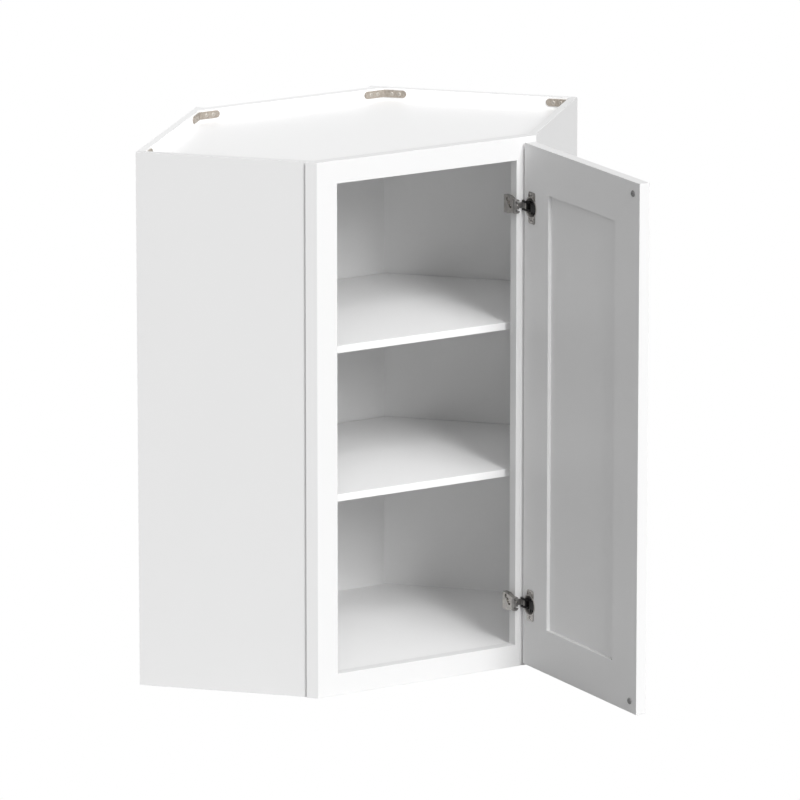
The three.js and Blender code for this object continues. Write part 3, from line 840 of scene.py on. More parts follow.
@dataclass(frozen=True)
class Screws:
    """Cross-head screws, set out by geometry nodes; sizes are in millimetres."""

    head_radius: float = 3.4
    head_height: float = 1.5
    shank_radius: float = 1.7
    shank_length: float = 9.0
    slot_width: float = 0.8
    slot_reach: float = 3.9
    slot_depth: float = 0.9

    def tree(self) -> PatternTree:
        """Build the tree of one set of screws, whose inputs are named as the sizes are.

        Returns:
            The tree: a domed head on a shank, less a cross, copied to the points.
        """
        made = PatternTree("cross_head_screws")
        for size in asdict(self):
            made.declare(size, "NodeSocketFloat")
        radius, height = made.given("head_radius"), made.given("head_height")
        shank_radius, shank_length = made.given("shank_radius"), made.given("shank_length")
        ball = made.add("GeometryNodeMeshUVSphere", None,
                        {"Segments": 36, "Rings": 18, "Radius": 1.0}).outputs[0]
        dome = made.add("GeometryNodeTransform", None,
                        {"Geometry": ball, "Scale": made.triple(radius, radius, height)}).outputs[0]
        shank = made.add("GeometryNodeMeshCone", None, {
            "Vertices": 20, "Radius Top": shank_radius, "Radius Bottom": made.times(shank_radius, 0.4),
            "Depth": shank_length,
        }).outputs[0]
        sunk = made.add("GeometryNodeTransform", None, {
            "Geometry": shank, "Translation": made.triple(0.0, 0.0, made.times(shank_length, -1.0)),
        }).outputs[0]
        depth, top = made.times(made.given("slot_depth"), 2.0), made.triple(0.0, 0.0, height)
        bars = []
        for across, along in (("slot_width", "slot_reach"), ("slot_reach", "slot_width")):
            size = made.triple(made.given(across), made.given(along), depth)
            bar = made.add("GeometryNodeMeshCube", None, {"Size": size}).outputs[0]
            bars.append(made.add("GeometryNodeTransform", None,
                                 {"Geometry": bar, "Translation": top}).outputs[0])
        body = made.merged("UNION", {"Mesh 2": [dome, sunk]})
        cross = made.merged("UNION", {"Mesh 2": bars})
        made.set_out(made.merged("DIFFERENCE", {"Mesh 1": body, "Mesh 2": cross}))
        return made

    def drive(
        self, bench: Bench, name: str, places: Sequence[Place], finish: Finish, replaced: Sequence[str] = ()
    ) -> None:
        """Drive a screw in at each place, as one mesh.

        Args:
            bench: the bench whose millimetres the places are in.
            name: the piece's name.
            places: where the heads sit, and which way they look.
            finish: what the screws are coated with.
            replaced: the CAD nodes that they stand for.
        """
        set_out(bench, name, self.tree(), asdict(self), places, finish, replaced)


def set_out(
    bench: Bench,
    name: str,
    tree: PatternTree,
    inputs: Mapping[str, float | bpy.types.Object],
    places: Sequence[Place],
    finish: Finish,
    replaced: Sequence[str] = (),
) -> None:
    """Run a tree on a cloud of points and hand over the result.

    Args:
        bench: the bench whose millimetres the places are in.
        name: the piece's name.
        tree: the tree that puts its pattern on the points.
        inputs: what goes into the tree's named inputs; numbers are in millimetres.
        places: the points.
        finish: what the pieces are coated with.
        replaced: the CAD nodes that they stand for.
    """
    cloud = bpy.data.meshes.new(name)
    cloud.from_pydata([bench.to_frame @ Vector(place.at) for place in places], [], [])
    turn_only = bench.to_frame.to_3x3().normalized()
    facings = [turn_only @ Vector(place.facing).normalized() for place in places]
    columns = {"facing": ("FLOAT_VECTOR", "vector", [number for facing in facings for number in facing]),
               "spin": ("FLOAT", "value", [math.radians(place.spin) for place in places])}
    for column, (kind, part, values) in columns.items():
        cloud.attributes.new(column, kind, "POINT").data.foreach_set(part, values)
    made = in_scene(name, cloud)
    runner = made.modifiers.new("set_out", "NODES")
    runner.node_group = tree.tree
    for label, value in inputs.items():
        runner[tree.inputs[label]] = value * MM if isinstance(value, float) else value
    runner[tree.inputs["Finish"]] = finish.material()
    data = settled(made)
    for leftover in [column for column in columns if column in data.attributes]:
        data.attributes.remove(data.attributes[leftover])
    data.shade_smooth()
    data.set_sharp_from_angle(angle=math.radians(CREASE))
    bench.hand_over(made, finish, replaced)


# ---------------------------------------------------------------- the carcass


@dataclass
class Carcass:
    """The five upright panels, the two decks and the two shelves."""

    bench: Bench
    plan: Plan
    arris: float = 0.5
    shelf_front: float = 36.5
    shelf_play: float = 2.0
    shelf_arris: float = 0.7
    deck_play: float = 0.3
    hole_radius: float = 2.75
    hole_depth: float = 9.3
    hole_drop: float = 8.3
    slack: float = 0.25

    def dados(self) -> list[bmesh.types.BMesh]:
        """The two level slots that the decks are let into, as cutting tools."""
        outline = self.plan.inside(-self.plan.dado, self.plan.frame_thickness - 1)
        tops = (self.plan.floor_top, self.plan.ceiling_top)
        return [prism(outline, top - self.plan.panel - self.slack, top + self.slack) for top in tops]

    @staticmethod
    def shelf_tops() -> dict[Level, float]:
        """The height of each shelf's top, from the frame."""
        return {level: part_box(f"{level.value}_shelf")[1].z / MM for level in Level}

    def pin_holes(self, hand: Hand, panel: str) -> list[bmesh.types.BMesh]:
        """Cutting tools for the holes of one panel's shelf supports.

        Args:
            hand: the side of the cabinet.
            panel: side or wall.

        Returns:
            A bar for each hole.
        """
        (x, y), heading = self.plan.pin_spot(hand, panel)
        drop = self.plan.panel + self.hole_drop
        return [moved(round_bar(self.hole_radius, self.hole_depth + OVERRUN, 20), ALONG_X,
                      shift(-self.hole_depth), turn(heading, "Z"), shift(x, y, top - drop))
                for top in self.shelf_tops().values()]

    def side_panel(self, hand: Hand) -> None:
        """Build one side panel, which runs from behind the stile to the wall."""
        plan = self.plan
        reach = plan.stile_lip * math.sqrt(2)
        corners = [plan.point(reach - plan.side_inset, plan.side_inset),
                   plan.point(plan.side_depth, plan.side_inset),
                   plan.point(plan.side_depth, plan.side_inner),
                   plan.point(reach - plan.side_inner, plan.side_inner)]
        panel = prism(for_hand(corners, hand), 0, plan.height)
        ease(panel, self.arris, lambda middle, run: middle.y < plan.stile_lip + NEAR)
        panel = cut(panel, *self.dados(), *self.pin_holes(hand, "side"))
        name = f"{hand.word}_side_panel"
        self.bench.piece(f"painted_{name}", panel, Finishes.PAINT, [name])

    def wall_panel(self, hand: Hand) -> None:
        """Build one wall panel, whose end closes up to the side panel."""
        plan = self.plan
        start = plan.side_inner - self.arris
        corners = [plan.point(plan.side_depth, start), plan.point(plan.side_depth, plan.wall_run),
                   plan.point(plan.wall_inner, plan.wall_run), plan.point(plan.wall_inner, start)]
        panel = prism(for_hand(corners, hand), 0, plan.height)
        joint = Vector((*plan.point(0, start), 0))
        joint.x *= -hand.value

        def at_joint(middle: Vector, run: Vector) -> bool:
            """Tell whether an edge lies in the end that meets the side panel."""
            back = (middle - joint).xy.dot(Vector((-hand.value * math.sqrt(0.5), math.sqrt(0.5))))
            return abs(back) < NEAR

        ease(panel, self.arris, at_joint)
        panel = cut(panel, *self.dados(), *self.pin_holes(hand, "wall"))
        name = f"{hand.word}_wall_panel"
        self.bench.piece(f"lined_{name}", panel, Finishes.LINING, [name])

    def back_panel(self) -> None:
        """Build the diagonal panel between the two wall panels; only its long edges are eased."""
        plan = self.plan
        seat = plan.wall_inner + self.arris
        left = [plan.beside_wall(seat, plan.rear_inner), plan.beside_wall(seat, plan.rear_outer)]
        corners = left + [(-x, y) for x, y in reversed(left)]
        panel = prism(corners, 0, plan.height)
        ease(panel, self.arris, lambda middle, run: abs(middle.x) > NEAR)
        self.bench.piece("lined_diagonal_back_panel", cut(panel, *self.dados()), Finishes.LINING,
                         ["diagonal_back_panel"])

    def decks(self) -> None:
        """Build the bottom and top panels, which fill their dados."""
        plan = self.plan
        outline = plan.inside(self.deck_play - plan.dado, plan.frame_thickness)
        for name, top in {"bottom_panel": plan.floor_top, "top_panel": plan.ceiling_top}.items():
            deck = prism(outline, top - plan.panel - self.slack, top + self.slack)
            self.bench.piece(f"lined_{name}", deck, Finishes.LINING, [name])

    def shelves(self) -> None:
        """Build the two shelves, with eased edges all round."""
        outline = self.plan.inside(self.shelf_play, self.shelf_front)
        for level, top in self.shelf_tops().items():
            shelf = ease(prism(outline, top - self.plan.panel, top), self.shelf_arris, segments=3)
            self.bench.piece(f"lined_{level.value}_shelf", shelf, Finishes.LINING, [f"{level.value}_shelf"])

    def build(self) -> None:
        """Build and dress the whole carcass."""
        for hand in Hand:
            self.side_panel(hand)
            self.wall_panel(hand)
        self.back_panel()
        self.decks()
        self.shelves()


@dataclass
class ShelfSupports:
    """The eight bent spoons that the shelves lie on, set out by geometry nodes."""

    bench: Bench
    plan: Plan
    width: float = 12.0
    reach: float = 12.0
    drop: float = 12.0
    sheet: float = 2.0
    off_panel: float = 0.2
    peg_radius: float = 2.5
    peg_length: float = 9.0
    peg_drop: float = 8.0
    under_shelf: float = 0.1

    def spoon(self) -> bpy.types.Object:
        """Make one support as a pattern: its ledge reaches along +Z and its underside looks to +X.

        Returns:
            A loose object in metres, which the tree copies.
        """
        half, wall = self.width / 2, self.off_panel + self.sheet
        profile = [(self.off_panel, -self.drop), (wall, -self.drop), (wall, -self.sheet - 1.2),
                   (wall + 0.35, -self.sheet - 0.35), (wall + 1.2, -self.sheet), (self.reach, -self.sheet),
                   (self.reach, 0.0), (1.3, 0.0), (0.6, -0.3), (self.off_panel, -1.0)]
        bent = ease(facing_front(prism(profile, -half, half)), 0.35, least_angle=70.0)
        peg = moved(round_bar(self.peg_radius, self.peg_length + 1.0, 24, 0.5), ALONG_X,
                    shift(-self.peg_length, 0, -self.peg_drop))
        return loose_object(moved(fused(bent, peg), turn(-90, "Y"), Matrix.Scale(MM, 4)), "support_pattern")

    def tree(self) -> PatternTree:
        """Build the tree that copies the pattern to the points."""
        made = PatternTree("shelf_supports")
        made.declare("Pattern", "NodeSocketObject")
        copied = made.add("GeometryNodeObjectInfo", None, {"Object": made.given("Pattern")})
        made.set_out(copied.outputs["Geometry"])
        return made

    def build(self) -> None:
        """Set the eight supports out under the two shelves."""
        places, nodes = [], []
        for level in Level:
            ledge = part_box(f"{level.value}_shelf")[0].z / MM - self.under_shelf
            for hand in Hand:
                for panel in ("side", "wall"):
                    (x, y), way = self.plan.pin_spot(hand, panel)
                    facing = (math.cos(math.radians(way)), math.sin(math.radians(way)), 0.0)
                    places.append(Place((x, y, ledge), facing, way))
                    nodes.append(f"{level.value}_shelf_support_{hand.word}_{panel}")
        pattern = self.spoon()
        set_out(self.bench, "shelf_supports", self.tree(), {"Pattern": pattern}, places, Finishes.NICKEL,
                nodes)
        discard(pattern)


# ---------------------------------------------------------------- the face frame


@dataclass
class FaceFrame:
    """Two stiles with slanted outer edges and two rails, sprayed as one."""

    bench: Bench
    plan: Plan
    arris: float = 0.6

    def stile(self, hand: Hand) -> None:
        """Build one stile, which stands proud of its side panel."""
        plan = self.plan
        corners = [(-plan.half_face, 0.0), (-plan.opening_edge, 0.0),
                   (-plan.opening_edge, plan.frame_thickness),
                   plan.beside_side(plan.side_inner, plan.frame_thickness),
                   plan.beside_side(plan.side_inner, plan.stile_lip),
                   (-plan.half_face - plan.stile_lip, plan.stile_lip)]
        stile = prism(for_hand(corners, hand), 0, plan.height)
        low, high = abs(corners[4][0]) - NEAR, abs(corners[3][0]) + NEAR
        ease(stile, self.arris, lambda middle, run: middle.y > plan.stile_lip - NEAR
             and low < abs(middle.x) < high)
        name = f"face_frame_{hand.word}_stile"
        self.bench.piece(f"painted_{hand.word}_stile", stile, Finishes.PAINT, [name])

    def rail(self, name: str, low: float, high: float) -> None:
        """Build one rail, whose ends close over the eased arrises of the stiles.

        Args:
            name: the end of the rail's CAD name.
            low: its lower edge.
            high: its upper edge.
        """
        end = self.plan.opening_edge + self.arris
        rail = block((-end, 0, low), (end, self.plan.frame_thickness, high))
        ease(rail, self.arris, lambda middle, run: abs(middle.x) > end - NEAR)
        self.bench.piece(f"painted_{name}", rail, Finishes.PAINT, [f"face_frame_{name}"])

    def build(self) -> None:
        """Build and dress the face frame."""
        for hand in Hand:
            self.stile(hand)
        self.rail("top_rail", self.plan.opening_high, self.plan.height)
        self.rail("bottom_rail", 0, self.plan.opening_low)


# ---------------------------------------------------------------- the corner brackets


def square_to(run: Vector, towards: Vector) -> Vector:
    """The direction in plan that is square to a run, on the side of another direction."""
    square = Vector((run.y, -run.x))
    return square if square.dot(towards) >= 0 else -square


@dataclass
class CornerBrackets:
    """The bent strips in the corners of the two recesses, each with four screws."""

    bench: Bench
    plan: Plan
    leg: float = 39.0
    height: float = 12.5
    sheet: float = 1.9
    bend: float = 2.2
    rim_gap: float = 3.0
    hole_places: Point = (13.5, 26.5)  # along each leg, from the corner
    screw_sunk: float = 0.35
    arris: float = 0.45
    bend_steps: int = 6
    end_steps: int = 12

    @property
    def straight(self) -> float:
        """Where the round end of a leg starts, from the bend."""
        return self.leg - self.height / 2

    def stations(self) -> list[float]:
        """Where a strip is cut across, along its middle line from end to end; the bend is at 0."""
        half = [self.bend * step / self.bend_steps for step in range(self.bend_steps + 1)]
        half += [self.straight / 2, self.straight]
        half += [self.straight + self.height / 2 * math.sin(math.radians(90 * step / self.end_steps))
                 for step in range(1, self.end_steps + 1)]
        return [-station for station in reversed(half[1:])] + half

    def spot(self, corner: Vector, ways: Sequence[Vector], station: float, depth: float) -> Vector:
        """Find a point of a bent strip in plan.

        Args:
            corner: the corner of the panels' inner faces.
            ways: the directions of the two panels, away from the corner.
            station: how far along the strip, from the bend.
            depth: how far off the panel.

        Returns:
            The point.
        """
        first, second = ways
        if abs(station) >= self.bend:
            way = first if station < 0 else second
            at, run = corner + way * abs(station), way
        else:
            part = (station / self.bend + 1) / 2
            start, end = corner + first * self.bend, corner + second * self.bend
            at = start * (1 - part) ** 2 + corner * 2 * part * (1 - part) + end * part ** 2
            run = ((corner - start) * (1 - part) + (end - corner) * part).normalized()
        return at + square_to(run, first + second) * depth

    def strip(self, corner: Vector, ways: Sequence[Vector], middle: float) -> bmesh.types.BMesh:
        """Bend one strip into a corner.

        Args:
            corner: the corner of the panels' inner faces, in plan.
            ways: the directions of the two panels, away from the corner.
            middle: the height of the strip's middle.

        Returns:
            A closed strip with round ends and a rounded bend.
        """
        mesh = bmesh.new()
        columns = []
        for station in self.stations():
            past = max(0.0, abs(station) - self.straight)
            rise = math.sqrt(max(0.0, (self.height / 2) ** 2 - past * past))
            near, far = (self.spot(corner, ways, station, depth) for depth in (0.0, self.sheet))
            if rise < 1e-6:
                tip, behind = (mesh.verts.new((*place, middle)) for place in (near, far))
                columns.append([tip, behind, behind, tip])
                continue
            columns.append([mesh.verts.new((*place, middle + up))
                            for place, up in ((near, rise), (far, rise), (far, -rise), (near, -rise))])
        for column, after in zip(columns, columns[1:]):
            for side in range(4):
                other = (side + 1) % 4
                mesh.faces.new(list(dict.fromkeys((column[side], column[other], after[other], after[side]))))
        return ease(outward(mesh), self.arris, least_angle=60.0)

    def build(self) -> None:
        """Bend the ten brackets into their corners and screw them down."""
        plan = self.plan
        corners = [Vector(point) for point in plan.inside(0, plan.frame_thickness)]
        names = ["front_left", "left", "back_left", "back_right", "right", "front_right"]
        low = self.rim_gap + self.height / 2
        screws = []
        for index, name in enumerate(names):
            here, after = corners[index], corners[(index + 1) % len(corners)]
            ways = [(corners[index - 1] - here).normalized(), (after - here).normalized()]
            for level, middle in {"top": plan.height - low, "bottom": low}.items():
                node = f"{level}_bracket_{name}"
                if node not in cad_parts:
                    continue
                self.bench.piece(f"plated_{node}", self.strip(here, ways, middle), Finishes.ZINC, [node])
                for way in ways:
                    facing = square_to(way, ways[0] + ways[1])
                    for number, place in enumerate(self.hole_places):
                        seat = here + way * place + facing * (self.sheet - self.screw_sunk)
                        spin = 20 + 37 * number + 23 * index  # degrees; the two crosses of a leg differ
                        screws.append(Place((*seat, middle), (*facing, 0.0), spin))
        Screws(head_radius=3.6, head_height=1.35, shank_length=8.0).drive(
            self.bench, "bracket_screws", screws, Finishes.ZINC_SCREW)


# ---------------------------------------------------------------- the door


@dataclass
class Door:
    """The recessed-panel door, laid out as if shut and measured from the hinge axis."""

    bench: Bench
    hinge_edge: float = -3.6
    free_edge: float = -364.6
    low: float = 5.5
    high: float = 906.0
    thickness: float = 19.0
    stile: float = 76.0
    rail: float = 76.0
    panel: float = 6.4
    panel_play: float = 1.0
    groove: float = 10.0
    arris: float = 0.7
    cup_setback: float = 20.5
    cup_radius: float = 17.6
    cup_depth: float = 12.1
    bumper_inset: float = 20.0
    bumper_radius: float = 5.5
    bumper_height: float = 2.8
    bumper_foot: float = 1.2
    bumper_swell: float = 0.25

    @property
    def panel_slab(self) -> Point:
        """Where the panel starts and ends in the door's thickness."""
        middle = -self.thickness / 2
        return middle - self.panel / 2, middle + self.panel / 2

    @property
    def panel_box(self) -> tuple[Point, Point]:
        """The panel's lower and upper corner, with its edges in the grooves."""
        reach = self.groove - self.panel_play
        return ((self.free_edge + self.stile - reach, self.low + self.rail - reach),
                (self.hinge_edge - self.stile + reach, self.high - self.rail + reach))

    def groove_tool(self) -> bmesh.types.BMesh:
        """The slot all round the opening that holds the panel, as a cutting tool."""
        (left, bottom), (right, top) = self.panel_box
        near, far = self.panel_slab
        play = self.panel_play
        return block((left - play, near, bottom - play), (right + play, far, top + play))

    def stiles(self) -> None:
        """Build the two stiles; the hinge stile is bored for the cups."""
        across = self.hinge_edge - self.cup_setback
        cups = [moved(round_bar(self.cup_radius, self.cup_depth + OVERRUN, 72), ALONG_Y,
                      shift(across, -self.cup_depth, hinge_height(level))) for level in Level]
        spans = {"hinge": (self.hinge_edge - self.stile, self.hinge_edge, cups),
                 "free": (self.free_edge, self.free_edge + self.stile, [])}
        for name, (left, right, bores) in spans.items():
            stile = ease(block((left, -self.thickness, self.low), (right, 0, self.high)), self.arris)
            self.bench.piece(f"painted_door_{name}_stile", cut(stile, self.groove_tool(), *bores),
                             Finishes.PAINT, [f"door_{name}_stile"])

    def rails(self) -> None:
        """Build the two rails, whose ends close over the eased arrises of the stiles."""
        left = self.free_edge + self.stile - self.arris
        right = self.hinge_edge - self.stile + self.arris
        spans = {"door_bottom_rail": (self.low, self.low + self.rail),
                 "door_top_rail": (self.high - self.rail, self.high)}
        for name, (low, high) in spans.items():
            rail = block((left, -self.thickness, low), (right, 0, high))
            ease(rail, self.arris, lambda middle, run: not left + NEAR < middle.x < right - NEAR)
            self.bench.piece(f"painted_{name}", cut(rail, self.groove_tool()), Finishes.PAINT, [name])

    def centre_panel(self) -> None:
        """Build the flat panel that stands in the grooves."""
        (left, bottom), (right, top) = self.panel_box
        near, far = self.panel_slab
        self.bench.piece("painted_door_panel", block((left, near, bottom), (right, far, top)), Finishes.PAINT,
                         ["door_panel"])

    def bumpers(self) -> None:
        """Cast the two rubber domes by the free edge."""
        radius, foot = self.bumper_radius, self.bumper_foot
        crown, rise = radius - self.bumper_swell, self.bumper_height - foot
        profile = [(0.0, 0.0), (radius - 0.6, 0.0), (radius - 0.1, 0.25), (radius, 0.7)]
        profile += [(crown * across, foot + rise * up) for across, up in arc((0, 0), 1.0, 0, 90)[:-1]]
        profile.append((0.0, self.bumper_height))
        heights = {Level.UPPER: self.high - self.bumper_inset, Level.LOWER: self.low + self.bumper_inset}
        for level, middle in heights.items():
            dome = moved(turned(profile, 48), ALONG_Y, shift(self.free_edge + self.bumper_inset, 0, middle))
            self.bench.piece(f"cast_{level.value}_door_bumper", dome, Finishes.RUBBER,
                             [f"{level.value}_door_bumper"], crease=50.0)

    def build(self) -> None:
        """Build and dress the door."""
        self.stiles()
        self.rails()
        self.centre_panel()
        self.bumpers()


# ---------------------------------------------------------------- the hinges


def hinge_height(level: Level) -> float:
    """The height of a hinge's middle in millimetres, from its pin in the frame."""
    low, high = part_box(f"{level.value}_hinge_pin")
    return (low.z + high.z) / 2 / MM


@dataclass
class HingeHalf:
    """What the two halves of a hinge share: their bench, their level and the way up to it."""

    bench: Bench
    level: Level

    def node(self, part: str) -> str:
        """The full name of one of this hinge's parts."""
        return f"{self.level.value}_hinge_{part}"

    def hand_over(
        self, name: str, mesh: bmesh.types.BMesh, finish: Finish, *parts: str, body: Body | None = None
    ) -> None:
        """Lift a mesh to this hinge's height and hand it over in place of CAD parts.

        Args:
            name: the end of the piece's name.
            mesh: the shape, with Z measured from the hinge's middle; it is freed.
            finish: what it is coated with.
            parts: the CAD parts that it stands for.
            body: the body that it rides on, if not the bench's own.
        """
        moved(mesh, shift(z=hinge_height(self.level)))
        self.bench.piece(self.node(name), mesh, finish, [self.node(part) for part in parts], body)

    def drive(self, name: str, screws: Screws, places: Sequence[Place], *parts: str) -> None:
        """Drive screws in place of their CAD parts.

        Args:
            name: the end of the piece's name.
            screws: the kind of screw.
            places: where they go, with Z measured from the hinge's middle.
            parts: the CAD parts that they stand for.
        """
        middle = hinge_height(self.level)
        lifted = [Place((*place.at[:2], middle + place.at[2]), place.facing, place.spin)
                  for place in places]
        screws.drive(self.bench, self.node(name), lifted, Finishes.NICKEL,
                     [self.node(part) for part in parts])


@dataclass
class HingeArm(HingeHalf):
    """The half of a hinge that is screwed to the face frame.

    X and Y are the cabinet's; Z is measured from the hinge's middle.
    """

    gap: float = 0.3  # between the sheets and the face of the stile
    plate: Point = (169.1, 172.1)  # from and to in X
    plate_front: Point = (2.0, 11.0)  # its Y, and half the height there
    wing: Point = (163.3, 168.8)  # from and to in X
    skin: float = 1.5
    back: float = 26.0
    half: float = 15.0
    shoulder: float = 12.0
    throat: float = 11.4
    wing_front: float = -3.8
    lip: Point = (169.5, 178.4)  # from and to in X
    lip_sheet: Point = (19.3, 21.3)  # from and to in Y
    lip_half: float = 10.0
    nose_right: float = 174.8
    nose_front: float = -10.0
    nose_half: float = 12.0
    nose_arc: Point = (160.0, 16.0)  # X of its middle, and its radius
    channel: Point = (5.0, 8.6)  # from and to in Z, above and below the middle
    channel_back: float = -2.5
    mouth: float = 171.8  # the X from which the nose is open for the link's bar
    nose_ease: float = 0.7
    axis: Point = (184.1, -3.1)  # X and Y
    knuckle: float = 2.6
    strap: float = 1.3
    bore: float = 1.5
    pin_radius: float = 1.2
    pin_half: float = 8.3
    recess: float = 2.0
    recess_radius: float = 3.7
    frame_screw: Point = (15.0, 9.0)  # Y and Z
    adjust_screw: Point = (7.0, 1.0)  # Y and Z
    adjust_reach: float = 3.5
    depth_screw: Point = (169.4, 2.2)  # X and Z
    arris: float = 0.35

    def side_outline(self, front: float, front_half: float) -> Outline:
        """The outline of wing and plate in Y and Z, tapered towards the front."""
        return [(self.back, -self.half), (self.back, self.half), (self.shoulder, self.half),
                (front, front_half), (front, -front_half), (self.shoulder, -self.half)]

    def base_plate(self) -> None:
        """Build the plate on the stile's inner edge, with its lip behind the stile."""
        plate = ease(facing_side(prism(self.side_outline(*self.plate_front), *self.plate)), self.arris)
        (left, right), (near, far), half = self.lip, self.lip_sheet, self.lip_half
        lip = ease(block((left, near, -half), (right, far, half)), self.arris)
        self.hand_over("plate_on_stile", fused(plate, lip), Finishes.NICKEL, "base_plate")

    def wing_plate(self) -> None:
        """Build the bright side of the arm, with a hollow and a slanted slot for its two screws."""
        outer, throat = self.wing[0], self.throat
        slab = facing_side(prism(self.side_outline(-self.gap, throat), *self.wing))
        skin = block((outer, self.wing_front, -throat), (outer + self.skin, 1.0, throat))
        front = self.wing_front + NEAR
        wing = ease(fused(slab, skin), self.arris, lambda middle, run: middle.y < front, least_angle=20.0)
        radius, depth = self.recess_radius, self.recess
        profile = [(0.0, 0.0), (radius, 0.0), (radius, depth - 0.3), (radius + 0.5, depth + 0.2),
                   (0.0, depth + 0.2)]
        hollow = moved(turned(profile, 40), turn(-90, "Y"), shift(outer + depth))
        slot = arc((self.adjust_reach, 0), radius, -90, 90) + arc((-self.adjust_reach, 0), radius, 90, 270)
        groove = facing_side(prism(slot, outer - 1, outer + depth))
        wing = cut(wing, moved(hollow, shift(0, *self.frame_screw)),
                   moved(groove, turn(45, "X"), shift(0, *self.adjust_screw)))
        self.hand_over("wing", wing, Finishes.NICKEL, "arm")

    def housing(self) -> None:
        """Build the nose that goes into the cup, with two channels for the link and a mouth for its bar."""
        middle, radius = (self.nose_arc[0], 0.0), self.nose_arc[1]
        corner = math.degrees(math.asin(self.nose_half / radius))
        flat = math.degrees(math.acos((self.nose_right - middle[0]) / radius))
        outline = [(self.wing[0], self.nose_half), (self.wing[0], -self.nose_half),
                   *arc(middle, radius, -corner, -flat, 6), *arc(middle, radius, flat, corner, 6)]
        nose = facing_front(prism(outline, self.nose_front, -self.gap))
        ease(nose, self.nose_ease,
             lambda spot, run: spot.y > self.nose_front + NEAR and abs(run.y) < 0.9, segments=3)
        low, high = self.channel
        inner, past, before = self.wing[0] + self.skin, self.nose_right + OVERRUN, self.nose_front - OVERRUN
        cuts = [block((self.mouth, before, -high), (past, OVERRUN, high)),
                block((self.wing[0] - 1, self.wing_front, -20), (inner, 1, 20))]
        cuts += [block((inner, before, bottom), (past, self.channel_back, bottom + high - low))
                 for bottom in (low, -high)]
        # the housing takes the darker nickel, which is painted shade
        self.hand_over("nose_housing", cut(nose, *cuts), Finishes.DULL_NICKEL)

    def knuckle_strap(self) -> None:
        """Build the strap under the shut door's edge and the middle knuckle at its end."""
        reach = self.channel[0]
        strap = block((self.wing[1] - 1, -self.gap - self.strap, -reach), (self.axis[0], -self.gap, reach))
        bar = moved(round_bar(self.knuckle, 2 * reach, 40), shift(*self.axis, -reach))
        bore = moved(round_bar(self.bore, 4 * reach, 24), shift(*self.axis, -2 * reach))
        # the strap takes the darker nickel, which is painted shade
        self.hand_over("knuckle_strap", cut(fused(ease(strap, 0.2), bar), bore), Finishes.DULL_NICKEL)

    def pin(self) -> None:
        """Build the pin that the door turns on."""
        half = self.pin_half
        pin = moved(round_bar(self.pin_radius, 2 * half, 32, 0.25), shift(*self.axis, -half))
        self.hand_over("turning_pin", pin, Finishes.NICKEL, "pin")

    def screws(self) -> None:
        """Drive the two screws of the wing, and the small one in the housing's face."""
        seat = self.wing[0] + self.recess - 0.2
        places = [Place((seat, *self.frame_screw), (-1, 0, 0), 12.0),
                  Place((seat, *self.adjust_screw), (-1, 0, 0), 38.0)]
        self.drive("wing_screws", Screws(head_height=1.4, shank_length=4.5), places, "frame_screw",
                   "adjust_screw")
        x, up = self.depth_screw
        small = Screws(head_radius=1.9, head_height=0.7, shank_radius=1.2, shank_length=3.0, slot_width=0.5,
                       slot_reach=2.2, slot_depth=0.5)
        self.drive("depth_screw", small, [Place((x, self.nose_front + 0.1, up), (0, -1, 0), 25.0)])

    def build(self) -> None:
        """Build and dress this half of the hinge."""
        self.base_plate()
        self.wing_plate()
        self.housing()
        self.knuckle_strap()
        self.pin()
        self.screws()


